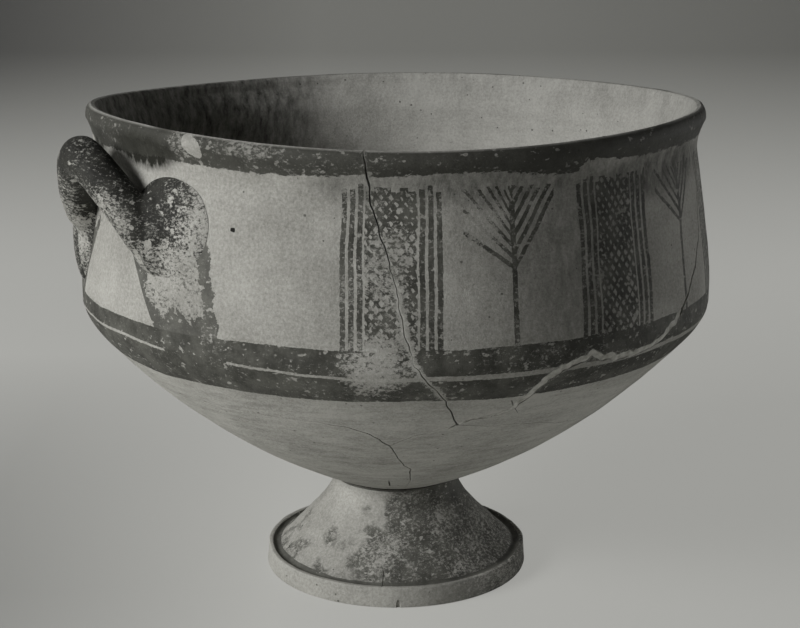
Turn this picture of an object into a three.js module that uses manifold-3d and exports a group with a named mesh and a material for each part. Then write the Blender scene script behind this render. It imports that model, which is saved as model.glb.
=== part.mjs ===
// A deep clay bowl on a spreading foot, with two loop handles, mended from sherds.
// Millimetres, +Z up. The origin is the centre of the foot's underside, and the handles lie along X.
// Azimuths are in degrees from -Y and grow towards +X. Bowl heights are measured from its seat on the foot.

import * as THREE from "three";
import { mergeVertices } from "three/addons/utils/BufferGeometryUtils.js";
import Module from "manifold-3d";

const wasm = await Module();
wasm.setup();

// Fits between the pieces
const joinGap = 0.3; // where clay was luted or glued to clay
const crackWidth = 0.3; // a closed break between two sherds
const fillWidth = 4.2; // the open break that holds plaster

// Foot
const footRadius = 68.3;
const footEdgeHeight = 10.5;
const footEdgeRound = 1;
const footEdgeLean = 0.6; // how far the edge leans in towards its top
const footLipWidth = 3;
const grooveWidth = 4.4;
const grooveDepth = 1.3;
const footHeight = 48.7;
const stemRadius = 32.4;
const stemLength = 3; // upright clay at the top, below the bowl
const stemBend = 9; // height of the bend between the stem and the flare
const restRingWidth = 13;
const hollowHeight = 31;
const hollowTopRadius = 13;

// Bowl, outside: each rise is measured from the line before it
const coneTopRadius = 145.7;
const coneRise = 81;
const coneSag = 7.4; // how far the cone bulges below a straight line
const bellyRadius = 157.4;
const bellyRise = 20;
const bellyBend = 0.585; // where the shoulder turns upright, as a share of its rise
const neckRadius = 148.2;
const neckRise = 71;
const neckBend = 0.22; // where the wall starts to draw in, as a share of its rise
const lipOverhang = 3.8; // the lip's outermost line, outside the neck
const lipRise = 14.5;
const rimRise = 5.7;

// Bowl, inside
const lipWall = 6;
const neckWall = 7;
const bellyWall = 8;
const coneTopWall = 7.2;
const innerSag = 4.4;
const floorWall = 12;
const floorRadius = 26;

// The rim isn't level: it rises twice and, less, three times round the bowl
const twoWave = 1.65;
const twoWaveAzimuth = 72.5;
const threeWave = 1.35;
const threeWaveAzimuth = 27;
const waveDepth = 61.2; // how far below the rim the wave has died out

// Handles
const coilRadius = 9.3;
const fingerGap = 7.2; // between the lip and the crown of the handle
const crownDrop = 13; // from the rim to the middle of the crown's coil
const rootDrop = 46.7; // from the rim to the middle of a leg at the wall
const legSpread = 30; // from the handle's middle to the middle of a leg at the wall
const archRise = 1.15; // how pointed the loop is, seen from the side
const archSpread = 1.5; // and from the front
const legInWall = 20;
const tailShare = 0.12; // share of the coil, at each end, that runs on inside the wall
const padAzimuth = 17; // the smeared clay lies outside the legs
const padDrop = 58.2; // from the rim to the pad's middle
const padHalfWidth = 30;
const padHalfHeight = 43;
const padThickness = 16;
const padProud = 7;

// Fineness of the round forms
const turns = 64;
const facetLength = 20; // longest straight facet along a curved outline
const fewestFacets = 3;
const coilSteps = 30;
const coilSides = 14;
const padTurns = 20;
const padRings = 14;
const weldDistance = 1e-4;

// Cuts along the breaks
const azimuthStep = 5;
const levelStep = 0.4;
const knifePast = 5; // how far a cut runs past the wall, outside and inside
const slopeReach = 5; // the wall's slope is measured over twice this height
const probeRadius = 1;

const coneTopHeight = coneRise;
const bellyHeight = coneTopHeight + bellyRise;
const neckHeight = bellyHeight + neckRise;
const lipHeight = neckHeight + lipRise;
const rimHeight = lipHeight + rimRise;
const seatHeight = footHeight + joinGap;
const lipRadius = neckRadius + lipOverhang;
const crownRadius = lipRadius + fingerGap + coilRadius;
const radians = THREE.MathUtils.degToRad;

// Break lines as [azimuth, level]: level 0 is the seat, 1 the cone's top, 2 the belly, 3 the neck, 4 the rim.
const stations = [0, coneTopHeight, bellyHeight, neckHeight, rimHeight];
const panelBreak = [
  [-37.7, 4.6], [-37.1, 3.5], [-36.3, 2.94], [-34.2, 2.7], [-32.3, 2.44], [-31.1, 2.18],
  [-29.6, 2], [-27.1, 1.5], [-23.7, 0.97], [-20.4, 0.8],
];
const linkBreak = [[-20.4, 0.8], [-28.3, 0.72], [-33.8, 0.63]];
const footBreak = [[-33.8, 0.63], [-31.7, 0.47], [-28.5, 0.38], [-26.4, 0.21]];
const fillLine = [
  [-20.4, 0.8], [-14.7, 0.86], [-11.1, 0.9], [-8.8, 0.99], [-6.9, 1.49], [-3.9, 1.7],
  [0.5, 1.84], [7.4, 1.7], [13.2, 1.66], [19.5, 2], [24.4, 2.09],
];
const sideBreak = [[24.4, 2.09], [30.5, 2.27], [35.6, 2.48], [38, 2.78], [36.5, 3.2], [38.5, 4.6]];
const coneBreak = [
  [-20.4, 0.8], [-11.6, 0.76], [-4.8, 0.75], [4.8, 0.69], [14.2, 0.64], [40, 0.6],
  [70, 0.57], [97, 0.62], [125, 0.58], [150, 0.64],
];
const backBreak = [
  [-33.8, 0.63], [-38.4, 0.74], [-42.6, 0.79], [-46.8, 0.81], [-75, 0.84], [-110, 0.77],
  [-150, 0.72], [-180, 0.75], [-210, 0.64],
];
const hiddenFootBreak = [[150, 0.64], [154, 0.46], [150, 0.34], [152, 0.21]];

const paleClay = new THREE.MeshStandardMaterial({ color: "#aaa89f", roughness: 0.85, metalness: 0 });
const paintedClay = new THREE.MeshStandardMaterial({ color: "#77746c", roughness: 0.7, metalness: 0 });
const plaster = new THREE.MeshStandardMaterial({ color: "#bdbab0", roughness: 0.95, metalness: 0 });

// A geometry as a manifold solid, without the faces that collapse where a lathe meets its axis.
function solidOf(geometry) {
  const bare = geometry.clone();
  for (const name of ["normal", "uv"]) bare.deleteAttribute(name);
  const merged = mergeVertices(bare, weldDistance);
  const corners = merged.index.array;
  const kept = [];
  for (let i = 0; i < corners.length; i += 3) {
    const [a, b, c] = corners.subarray(i, i + 3);
    if (a !== b && b !== c && c !== a) kept.push(a, b, c);
  }
  const vertProperties = merged.attributes.position.array;
  return new wasm.Manifold(new wasm.Mesh({ numProp: 3, vertProperties, triVerts: Uint32Array.from(kept) }));
}

function meshOf(name, solid, material) {
  const { vertProperties, triVerts } = solid.getMesh();
  const geometry = new THREE.BufferGeometry();
  geometry.setAttribute("position", new THREE.BufferAttribute(vertProperties, 3));
  geometry.setIndex(new THREE.BufferAttribute(triVerts, 1));
  geometry.computeVertexNormals();
  const mesh = new THREE.Mesh(geometry, material);
  mesh.name = name;
  return mesh;
}

function largest(solids) {
  return solids.sort((a, b) => b.volume() - a.volume())[0];
}

// Turns an outline, drawn up the outside and back down the inside, about the Z axis.
function turned(path) {
  return new THREE.LatheGeometry(outlinePoints(path), turns).rotateX(Math.PI / 2);
}

// The corners of an outline: a straight stretch is one facet, and a curve has a few.
function outlinePoints(path) {
  const points = [path.curves[0].getPoint(0)];
  for (const curve of path.curves) {
    const facets = Math.max(fewestFacets, Math.ceil(curve.getLength() / facetLength));
    const steps = curve.isLineCurve ? 1 : facets;
    for (let k = 1; k <= steps; k++) points.push(curve.getPoint(k / steps));
  }
  return points;
}

// The bend of a curve that sags by so much, outwards and down, from the straight line up to a corner.
function sagBend(low, high, sag) {
  const middle = low.clone().add(high).multiplyScalar(0.5);
  const down = new THREE.Vector2(high.y - low.y, low.x - high.x).normalize();
  return middle.addScaledVector(down, 2 * sag);
}

function drawOuter(path, grow) {
  const coneTop = new THREE.Vector2(coneTopRadius, coneTopHeight);
  const bend = sagBend(new THREE.Vector2(stemRadius, 0), coneTop, coneSag);
  path.quadraticCurveTo(bend.x + grow, bend.y, coneTopRadius + grow, coneTopHeight);
  const shoulder = coneTopHeight + bellyRise * bellyBend;
  path.quadraticCurveTo(bellyRadius + grow, shoulder, bellyRadius + grow, bellyHeight);
  const drawIn = bellyHeight + neckRise * neckBend;
  path.quadraticCurveTo(bellyRadius + grow, drawIn, neckRadius + grow, neckHeight);
  path.quadraticCurveTo(neckRadius + grow, neckHeight + lipRise / 2, lipRadius + grow, lipHeight);
}

function drawInner(path) {
  const neckInside = neckRadius - neckWall;
  path.quadraticCurveTo(neckInside, neckHeight + lipRise / 2, neckInside, neckHeight);
  const drawIn = bellyHeight + neckRise * neckBend;
  const bellyInside = bellyRadius - bellyWall;
  path.quadraticCurveTo(bellyInside, drawIn, bellyInside, bellyHeight);
  const coneTop = new THREE.Vector2(coneTopRadius - coneTopWall, coneTopHeight);
  path.quadraticCurveTo(bellyInside, coneTopHeight + bellyRise * bellyBend, coneTop.x, coneTop.y);
  const bend = sagBend(new THREE.Vector2(floorRadius, floorWall), coneTop, innerSag);
  path.quadraticCurveTo(bend.x, bend.y, floorRadius, floorWall);
  path.lineTo(0, floorWall);
}

function bowlOutline() {
  const lipInside = lipRadius - lipWall;
  const path = new THREE.Path().moveTo(0, 0).lineTo(stemRadius, 0);
  drawOuter(path, 0);
  path.quadraticCurveTo(lipRadius, rimHeight, lipRadius - lipWall / 2, rimHeight);
  path.quadraticCurveTo(lipInside, rimHeight, lipInside, lipHeight);
  drawInner(path);
  return path;
}

// The bowl's outside as a full solid, grown by a gap: what the handles are cut back by.
function envelopeOutline(gap) {
  const path = new THREE.Path().moveTo(0, 0).lineTo(stemRadius + gap, 0);
  drawOuter(path, gap);
  path.quadraticCurveTo(lipRadius + gap, rimHeight, neckRadius + gap, rimHeight + gap);
  path.lineTo(0, rimHeight + gap);
  return path;
}

function rimWave(azimuth) {
  const two = twoWave * Math.cos(2 * (azimuth - radians(twoWaveAzimuth)));
  return two + threeWave * Math.cos(3 * (azimuth - radians(threeWaveAzimuth)));
}

// Lifts and lowers the upper wall so that its rim waves.
function waved(geometry) {
  const at = geometry.attributes.position;
  for (let i = 0; i < at.count; i++) {
    const share = THREE.MathUtils.smoothstep(at.getZ(i), rimHeight - waveDepth, lipHeight);
    at.setZ(i, at.getZ(i) + share * rimWave(Math.atan2(at.getX(i), -at.getY(i))));
  }
  return geometry;
}

const outerPath = new THREE.Path().moveTo(stemRadius, 0);
drawOuter(outerPath, 0);
const outerPoints = outlinePoints(outerPath);

function wallRadius(height) {
  const above = outerPoints.findIndex((p) => p.y > height);
  if (above < 0) return outerPoints.at(-1).x;
  if (above === 0) return outerPoints[0].x;
  const [a, b] = [outerPoints[above - 1], outerPoints[above]];
  return THREE.MathUtils.mapLinear(height, a.y, b.y, a.x, b.x);
}

// How far the wall's radius grows for each millimetre of height. The neck's slope holds up to the rim.
function wallSlope(height) {
  const low = Math.max(0, Math.min(height, neckHeight) - slopeReach);
  const high = low + 2 * slopeReach;
  return (wallRadius(high) - wallRadius(low)) / (high - low);
}

function cylindrical(radius, azimuth, height) {
  const a = radians(azimuth);
  return new THREE.Vector3(radius * Math.sin(a), -radius * Math.cos(a), height);
}

// A point on the wall's outside and the direction out of the wall there.
function onWall(azimuth, height) {
  const point = cylindrical(wallRadius(height), azimuth, height);
  const out = cylindrical(1, azimuth, -wallSlope(height)).normalize();
  return { point, out };
}

function levelHeight(level) {
  const below = Math.min(Math.floor(level), stations.length - 2);
  return THREE.MathUtils.mapLinear(level, below, below + 1, stations[below], stations[below + 1]);
}

// A break line's points on the wall, with more between them where it runs far round the bowl.
function traced(line) {
  const places = [onWall(line[0][0], levelHeight(line[0][1]))];
  for (let i = 1; i < line.length; i++) {
    const [from, to] = [line[i - 1], line[i]];
    const turnSteps = Math.abs(to[0] - from[0]) / azimuthStep;
    const climbSteps = Math.abs(to[1] - from[1]) / levelStep;
    const steps = Math.ceil(Math.max(turnSteps, climbSteps));
    for (let k = 1; k <= steps; k++) {
      const azimuth = THREE.MathUtils.lerp(from[0], to[0], k / steps);
      const level = THREE.MathUtils.lerp(from[1], to[1], k / steps);
      places.push(onWall(azimuth, levelHeight(level)));
    }
  }
  return places;
}

// A thin closed wall along a break line, through the clay from outside to inside.
function knife(line, width, shorten = 0) {
  const places = traced(line);
  const rings = places.map(({ point, out }, i) => {
    const before = places[Math.max(0, i - 1)].point;
    const after = places[Math.min(places.length - 1, i + 1)].point;
    const along = after.clone().sub(before).normalize();
    const side = along.clone().cross(out).normalize();
    const centre = point.clone();
    if (i === 0) centre.addScaledVector(along, shorten);
    if (i === places.length - 1) centre.addScaledVector(along, -shorten);
    const inner = centre.clone().addScaledVector(out, -(floorWall + knifePast));
    const outer = centre.clone().addScaledVector(out, knifePast);
    const [left, right] = [side.clone().multiplyScalar(-width / 2), side.clone().multiplyScalar(width / 2)];
    return [inner.clone().add(left), inner.add(right), outer.clone().add(right), outer.add(left)];
  });
  return solidOf(skinned(rings));
}

// Joins equal rings of points by quads and closes both ends. Opposite sides are split along the same
// diagonal, so that a twisted sheet keeps its thickness.
function skinned(rings) {
  const size = rings[0].length;
  const faces = [];
  for (let i = 1; i < rings.length; i++) {
    for (let k = 0; k < size; k++) {
      const next = (k + 1) % size;
      const [a, b] = [(i - 1) * size + k, (i - 1) * size + next];
      const [c, d] = [i * size + next, i * size + k];
      if (k < size / 2) faces.push(a, c, b, a, d, c);
      else faces.push(a, d, b, b, d, c);
    }
  }
  const last = (rings.length - 1) * size;
  for (let k = 2; k < size; k++) {
    faces.push(0, k - 1, k);
    faces.push(last, last + k, last + k - 1);
  }
  const geometry = new THREE.BufferGeometry().setFromPoints(rings.flat());
  return geometry.setIndex(faces);
}

// An upright sheet from the axis to the lower end of a foot break, through floor and cone.
function floorKnife(line) {
  const [azimuth, level] = line.at(-1);
  const { point, out } = onWall(azimuth, levelHeight(level));
  const radial = cylindrical(1, azimuth, 0);
  const radiusOf = (v) => v.dot(radial);
  const outer = point.clone().addScaledVector(out, knifePast);
  const inner = point.clone().addScaledVector(out, -(floorWall + knifePast));
  const sheet = new THREE.Shape();
  sheet.moveTo(-crackWidth, -knifePast);
  sheet.lineTo(radiusOf(outer), -knifePast);
  sheet.lineTo(radiusOf(outer), outer.z);
  sheet.lineTo(radiusOf(inner), inner.z);
  sheet.lineTo(-crackWidth, Math.max(inner.z, floorWall + knifePast));
  const geometry = new THREE.ExtrudeGeometry(sheet, { depth: crackWidth, bevelEnabled: false });
  geometry.translate(0, 0, -crackWidth / 2).rotateX(Math.PI / 2);
  return solidOf(geometry.rotateZ(radians(azimuth - 90)));
}

// The sherd that holds the middle of the wall at a place.
function sherdAt(sherds, azimuth, level) {
  const { point, out } = onWall(azimuth, levelHeight(level));
  const middle = point.addScaledVector(out, -neckWall / 2);
  const probe = new THREE.OctahedronGeometry(probeRadius).translate(middle.x, middle.y, middle.z);
  return sherds.find((sherd) => sherd.intersect(solidOf(probe)).volume() > 0);
}

function breakBowl() {
  const bowl = solidOf(waved(turned(bowlOutline())));
  const closedBreaks = [panelBreak, linkBreak, footBreak, sideBreak, coneBreak, backBreak, hiddenFootBreak];
  const cutAll = (width) => wasm.Manifold.union(closedBreaks.map((line) => knife(line, width)));
  const floorCuts = floorKnife(footBreak).add(floorKnife(hiddenFootBreak));
  const cuts = cutAll(crackWidth).add(floorCuts).add(knife(fillLine, fillWidth));
  const band = bowl.intersect(knife(fillLine, fillWidth - 2 * joinGap, joinGap));
  const fill = largest(band.subtract(cutAll(crackWidth + 2 * joinGap)).decompose());
  return { sherds: bowl.subtract(cuts).decompose(), fill };
}

function footOutline() {
  const lipInside = footRadius - footLipWidth;
  const edgeTop = footRadius - footEdgeLean;
  const flareFoot = lipInside - grooveWidth;
  const stemFoot = footHeight - stemLength;
  const path = new THREE.Path().moveTo(0, hollowHeight).lineTo(hollowTopRadius, hollowHeight);
  path.lineTo(footRadius - restRingWidth, 0).lineTo(footRadius - footEdgeRound, 0);
  path.lineTo(footRadius, footEdgeRound).lineTo(edgeTop, footEdgeHeight - footEdgeRound);
  path.quadraticCurveTo(edgeTop, footEdgeHeight, edgeTop - footEdgeRound, footEdgeHeight);
  path.lineTo(lipInside, footEdgeHeight).lineTo(lipInside - grooveWidth / 2, footEdgeHeight - grooveDepth);
  path.lineTo(flareFoot, footEdgeHeight);
  path.quadraticCurveTo(stemRadius, stemFoot - stemBend, stemRadius, stemFoot);
  path.lineTo(stemRadius, footHeight).lineTo(0, footHeight);
  return path;
}

// The handle's centreline: a pointed loop that leans out from the wall. Its legs run on inside the clay.
class LoopCurve extends THREE.Curve {
  constructor(azimuth) {
    super();
    this.azimuth = azimuth;
  }
  getPoint(share, target = new THREE.Vector3()) {
    const run = Math.abs(share * 2 - 1) / (1 - 2 * tailShare); // 0 at the crown, 1 where a leg meets the wall
    const turn = (Math.min(run, 1) * Math.PI) / 2;
    const past = Math.max(0, run - 1) * ((1 - 2 * tailShare) / (2 * tailShare));
    const rise = Math.cos(turn) ** archRise;
    const across = Math.sign(share - 0.5) * legSpread * Math.sin(turn) ** archSpread;
    const root = new THREE.Vector2(wallRadius(rimHeight - rootDrop), rimHeight - rootDrop);
    const crown = new THREE.Vector2(crownRadius, rimHeight - crownDrop);
    const inward = root.clone().sub(crown).normalize();
    const place = root.lerp(crown, rise).addScaledVector(inward, past * legInWall);
    const sideways = cylindrical(across, this.azimuth + 90, 0);
    return target.copy(cylindrical(place.x, this.azimuth, place.y)).add(sideways);
  }
}

function coil(azimuth) {
  const section = new THREE.Shape().absarc(0, 0, coilRadius, 0, 2 * Math.PI, false);
  const options = { steps: coilSteps, curveSegments: coilSides, extrudePath: new LoopCurve(azimuth) };
  return solidOf(new THREE.ExtrudeGeometry(section, options));
}

// One root pad: clay smeared over the wall, proud in its middle and running out to nothing.
function rootPad(azimuth) {
  const height = rimHeight - padDrop;
  const pad = new THREE.SphereGeometry(1, padTurns, padRings).rotateX(Math.PI / 2);
  pad.scale(padHalfWidth, padThickness, padHalfHeight).rotateX(Math.atan(wallSlope(height)));
  pad.translate(0, -(wallRadius(height) - padThickness + padProud), height);
  return solidOf(pad.rotateZ(radians(azimuth)));
}

function handle(azimuth, envelope) {
  const raw = coil(azimuth).add(rootPad(azimuth - padAzimuth)).add(rootPad(azimuth + padAzimuth));
  return largest(raw.subtract(envelope).decompose());
}

function buildBowl() {
  const { sherds, fill } = breakBowl();
  const envelope = solidOf(waved(turned(envelopeOutline(joinGap))));
  const group = new THREE.Group();
  group.position.z = seatHeight;
  group.add(meshOf("main_bowl_sherd", sherdAt(sherds, 180, 2.5), paleClay));
  group.add(meshOf("front_wall_sherd", sherdAt(sherds, 0, 2.5), paleClay));
  group.add(meshOf("lower_cone_left_sherd", sherdAt(sherds, -60, 0.4), paleClay));
  group.add(meshOf("lower_cone_right_sherd", sherdAt(sherds, 30, 0.4), paleClay));
  group.add(meshOf("plaster_fill", fill, plaster));
  group.add(meshOf("handle_left", handle(-90, envelope), paintedClay));
  group.add(meshOf("handle_right", handle(90, envelope), paintedClay));
  return group;
}

const footedBowl = new THREE.Group();
footedBowl.add(meshOf("pedestal_foot", solidOf(turned(footOutline())), paintedClay));
footedBowl.add(buildBowl());

export default footedBowl;
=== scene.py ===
"""Looks of a mended clay bowl on a spreading foot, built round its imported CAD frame.

Lengths in the classes are millimetres, and MM turns them to metres. Azimuths are degrees from -Y and grow
towards +X. The wall's own heights are measured from its seat on the foot, as the maker would measure them.
"""

import ast
import logging
import math
from collections.abc import Mapping, Sequence
from dataclasses import dataclass
from enum import Enum

import bpy
import numpy as np
from mathutils import Matrix, Vector
from mathutils.kdtree import KDTree


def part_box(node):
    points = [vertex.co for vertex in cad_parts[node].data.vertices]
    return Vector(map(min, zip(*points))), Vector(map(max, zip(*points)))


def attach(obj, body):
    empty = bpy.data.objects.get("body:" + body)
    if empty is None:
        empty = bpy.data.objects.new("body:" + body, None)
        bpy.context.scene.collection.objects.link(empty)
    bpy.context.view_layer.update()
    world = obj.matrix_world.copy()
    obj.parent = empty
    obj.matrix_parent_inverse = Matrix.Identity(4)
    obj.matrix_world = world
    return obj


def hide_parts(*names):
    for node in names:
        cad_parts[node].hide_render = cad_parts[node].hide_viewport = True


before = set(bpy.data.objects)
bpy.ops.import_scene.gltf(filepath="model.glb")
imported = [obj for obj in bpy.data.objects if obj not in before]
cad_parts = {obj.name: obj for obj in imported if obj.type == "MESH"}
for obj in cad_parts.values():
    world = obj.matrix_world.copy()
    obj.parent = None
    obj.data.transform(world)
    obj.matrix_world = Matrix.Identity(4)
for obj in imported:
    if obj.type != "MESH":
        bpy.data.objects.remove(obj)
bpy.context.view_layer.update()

MM = 0.001
log = logging.getLogger("footed_bowl")

Array = np.ndarray
Material = bpy.types.Material
Piece = bpy.types.Object
Socket = bpy.types.NodeSocket
Feed = float | int | str | tuple | Socket | Material
Feeds = Sequence[Feed] | Mapping[int | str, Feed]


class Side(Enum):
    """The two ends of the X axis, where the handles stand, as the azimuth of each."""

    LEFT = -90.0
    RIGHT = 90.0


class Cut(Enum):
    """What a solver does with a cutting shape."""

    AWAY = "DIFFERENCE"
    KEEP = "INTERSECT"


class NodeBook:
    """Writes nodes into one tree, each by the same function. Its formulas may name whatever it knows."""

    FUNCTIONS = {
        "abs": "ABSOLUTE", "min": "MINIMUM", "max": "MAXIMUM", "round": "ROUND", "pingpong": "PINGPONG",
        "wrap": "WRAP", "atan2": "ARCTAN2", "sqrt": "SQRT", "sin": "SINE", "cos": "COSINE",
    }
    OPERATORS = {ast.Add: "ADD", ast.Sub: "SUBTRACT", ast.Mult: "MULTIPLY", ast.Div: "DIVIDE", ast.Pow: "POWER"}
    COMPARISONS = {ast.Lt: "LESS_THAN", ast.Gt: "GREATER_THAN"}

    def __init__(self, tree: bpy.types.NodeTree) -> None:
        """Starts an empty tree."""
        self.tree = tree
        self.known: dict[str, Feed] = {"degrees": math.degrees(1)}
        tree.nodes.clear()

    def add(self, kind: str, feeds: Feeds = (), out: int | str = 0, **settings: object) -> Socket:
        """Adds a node with its settings and links.

        Args:
            kind: the node's type.
            feeds: what goes into its inputs, in order or by index or name; a value or another node's output.
            out: the output that is handed back.
            settings: the node's own settings.

        Returns:
            That output, or the node itself if it has none.
        """
        node = self.tree.nodes.new(kind)
        for name, value in settings.items():
            setattr(node, name, value)
        pairs = feeds.items() if isinstance(feeds, Mapping) else enumerate(feeds)
        for place, feed in pairs:
            socket = node.inputs[place]
            if isinstance(feed, Socket):
                self.tree.links.new(feed, socket)
            else:
                socket.default_value = feed
        return node.outputs[out] if node.outputs else node

    def formula(self, text: str, **values: Feed) -> Socket:
        """Writes a formula with the same function, as the nodes that reckon it.

        Args:
            text: plain arithmetic, comparisons and the names in FUNCTIONS.
            values: what each name in it stands for that the book doesn't know.

        Returns:
            The output that holds the result.
        """
        return self._branch(ast.parse(text).body[0].value, {**self.known, **values})

    def _branch(self, part: ast.expr, values: Mapping[str, Feed]) -> Feed:
        """One branch of a formula, as a number or an output."""
        if isinstance(part, ast.Constant):
            return float(part.value)
        if isinstance(part, ast.Name):
            return values[part.id]
        if isinstance(part, ast.UnaryOp):
            return self.add("ShaderNodeMath", (0.0, self._branch(part.operand, values)), operation="SUBTRACT")
        if isinstance(part, ast.BinOp):
            sides, operation = (part.left, part.right), self.OPERATORS[type(part.op)]
        elif isinstance(part, ast.Compare):
            sides, operation = (part.left, part.comparators[0]), self.COMPARISONS[type(part.ops[0])]
        else:
            sides, operation = part.args, self.FUNCTIONS[part.func.id]
        feeds = [self._branch(side, values) for side in sides]
        return self.add("ShaderNodeMath", feeds, operation=operation)


def linear(colour: str) -> tuple[float, float, float, float]:
    """Turns an sRGB hex colour such as "#a8a49a" to linear values with full alpha."""
    parts = [int(colour[i : i + 2], 16) / 255 for i in (1, 3, 5)]
    bent = [c / 12.92 if c <= 0.04045 else ((c + 0.055) / 1.055) ** 2.4 for c in parts]
    return (*bent, 1.0)


def spots(place: Socket, size: float, detail: float, roughness: float) -> dict[str, Feed]:
    """What a noise is fed so that its spots are about so many millimetres across."""
    return {"Vector": place, "Scale": 1 / size, "Detail": float(detail), "Roughness": roughness}


def tones(share: Feed, none: Socket | str, full: Socket | str) -> dict[int, Feed]:
    """What a colour mix is fed: its share, and the tones at none of it and at all of it."""
    none, full = (linear(tone) if isinstance(tone, str) else tone for tone in (none, full))
    return {0: share, 6: none, 7: full}


def smoothstep(value: Array, low: float, high: float) -> Array:
    """Rises smoothly from 0 at low to 1 at high."""
    share = np.clip((value - low) / (high - low), 0, 1)
    return share * share * (3 - 2 * share)


def unevenness(points: Array, length: float, seed: int, waves: int = 28) -> Array:
    """A smooth random field about 0, made of plane waves.

    Args:
        points: places, one a row.
        length: about how far apart its bumps are.
        seed: picks the field.
        waves: how many waves it is made of.

    Returns:
        One value a place, mostly from -2 to 2.
    """
    draw = np.random.default_rng(seed)
    ways = draw.normal(size=(waves, points.shape[1]))
    ways /= np.linalg.norm(ways, axis=1, keepdims=True)
    ways *= 2 * math.pi / (length * draw.uniform(0.6, 1.7, size=(waves, 1)))
    return np.sin(points @ ways.T + draw.uniform(0, 2 * math.pi, waves)).sum(axis=1) * math.sqrt(2 / waves)


def around(radius: Array | float, azimuth: Array | float, height: Array | float) -> Array:
    """Points from a radius, an azimuth in degrees and a height."""
    turn = np.radians(azimuth)
    return np.stack(np.broadcast_arrays(radius * np.sin(turn), -radius * np.cos(turn), height), axis=-1)


@dataclass(frozen=True)
class Stretch:
    """One stretch of an outline, as radius and height: straight to its end, or curved by one bend point."""

    end: tuple[float, float]
    bend: tuple[float, float] | None = None


def drawn(start: tuple[float, float], stretches: Sequence[Stretch], spacing: float) -> Array:
    """Points along an outline.

    Args:
        start: where it begins, as radius and height.
        stretches: its stretches in order.
        spacing: about how far apart the points are.

    Returns:
        Rows of radius and height.
    """
    points = [np.array(start, float)]
    for stretch in stretches:
        low, high = points[-1], np.array(stretch.end, float)
        bend = (low + high) / 2 if stretch.bend is None else np.array(stretch.bend, float)
        length = np.linalg.norm(bend - low) + np.linalg.norm(high - bend)
        share = np.linspace(0, 1, max(2, math.ceil(length / spacing)) + 1)[1:, None]
        points.extend((1 - share) ** 2 * low + 2 * share * (1 - share) * bend + share**2 * high)
    return np.array(points)


def sag_bend(low: tuple[float, float], high: tuple[float, float], sag: float) -> tuple[float, float]:
    """The bend point of a curve that sags by so much, outwards and down, from the line between two ends."""
    run = np.subtract(high, low)
    down = np.array([run[1], -run[0]]) / np.linalg.norm(run)
    return tuple(np.add(low, high) / 2 + down * 2 * sag)


def linked(name: str, data: bpy.types.ID) -> Piece:
    """An object that holds the data, in the scene's collection."""
    made = bpy.data.objects.new(name, data)
    bpy.context.scene.collection.objects.link(made)
    return made


def new_object(name: str, points: Array, faces: Sequence[Sequence[int]], edges: Sequence = ()) -> Piece:
    """A mesh object at the origin from points in millimetres."""
    mesh = bpy.data.meshes.new(name)
    mesh.from_pydata((points * MM).tolist(), list(edges), list(faces))
    mesh.update()
    return linked(name, mesh)


def mesh_points(piece: Piece) -> Array:
    """The piece's vertices in millimetres."""
    flat = np.empty(len(piece.data.vertices) * 3)
    piece.data.vertices.foreach_get("co", flat)
    return flat.reshape(-1, 3) / MM


def move_points(piece: Piece, points: Array) -> None:
    """Puts the piece's vertices at points in millimetres."""
    piece.data.vertices.foreach_set("co", (points * MM).ravel())
    piece.data.update()


def turn_outwards(piece: Piece) -> None:
    """Flips a closed mesh whose faces point inwards, found from the sign of its volume."""
    piece.data.calc_loop_triangles()
    corners = np.empty(len(piece.data.loop_triangles) * 3, np.int64)
    piece.data.loop_triangles.foreach_get("vertices", corners)
    a, b, c = (mesh_points(piece)[corners.reshape(-1, 3)[:, k]] for k in range(3))
    if np.einsum("ij,ij->i", a, np.cross(b, c)).sum() < 0:
        piece.data.flip_normals()


def baked(piece: Piece, name: str) -> Piece:
    """The piece with its modifiers applied, as a new plain object, and the old one removed."""
    seen = piece.evaluated_get(bpy.context.evaluated_depsgraph_get())
    mesh = bpy.data.meshes.new_from_object(seen)
    bpy.data.objects.remove(piece)
    mesh.name = name
    return linked(name, mesh)


def cut(piece: Piece, tool: Piece, how: Cut) -> Piece:
    """Cuts a closed piece with a closed tool, and removes the tool.

    Args:
        piece: what is cut.
        tool: what cuts it.
        how: whether the tool is taken away, or what lies in it is kept.

    Returns:
        The cut piece, as a new object with the same name.
    """
    name = piece.name
    change = piece.modifiers.new("cut", "BOOLEAN")
    change.operation, change.solver, change.object = how.value, "MANIFOLD", tool
    made = baked(piece, name)
    bpy.data.objects.remove(tool)
    made.name = name
    return made


def select(pieces: Sequence[Piece]) -> None:
    """Selects just these pieces, with the first one active."""
    bpy.ops.object.select_all(action="DESELECT")
    for piece in pieces:
        piece.select_set(True)
    bpy.context.view_layer.objects.active = pieces[0]


def loose_parts(piece: Piece) -> list[Piece]:
    """Splits a piece into its unconnected parts."""
    select([piece])
    bpy.ops.mesh.separate(type="LOOSE")
    return list(bpy.context.selected_objects)


def largest_part(piece: Piece, name: str, clay: Material) -> Piece:
    """Keeps the piece's largest unconnected part, under that name and in one material, and removes the rest."""
    *crumbs, kept = sorted(loose_parts(piece), key=lambda part: len(part.data.vertices))
    for crumb in crumbs:
        bpy.data.objects.remove(crumb)
    kept.name = name
    kept.data.materials.clear()
    kept.data.materials.append(clay)
    kept.data.polygons.foreach_set("material_index", [0] * len(kept.data.polygons))
    return kept


def smooth(piece: Piece, sharp_above: float = 38) -> None:
    """Shades a piece smoothly, apart from edges sharper than that many degrees."""
    piece.data.shade_smooth()
    piece.data.set_sharp_from_angle(angle=math.radians(sharp_above))


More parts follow.
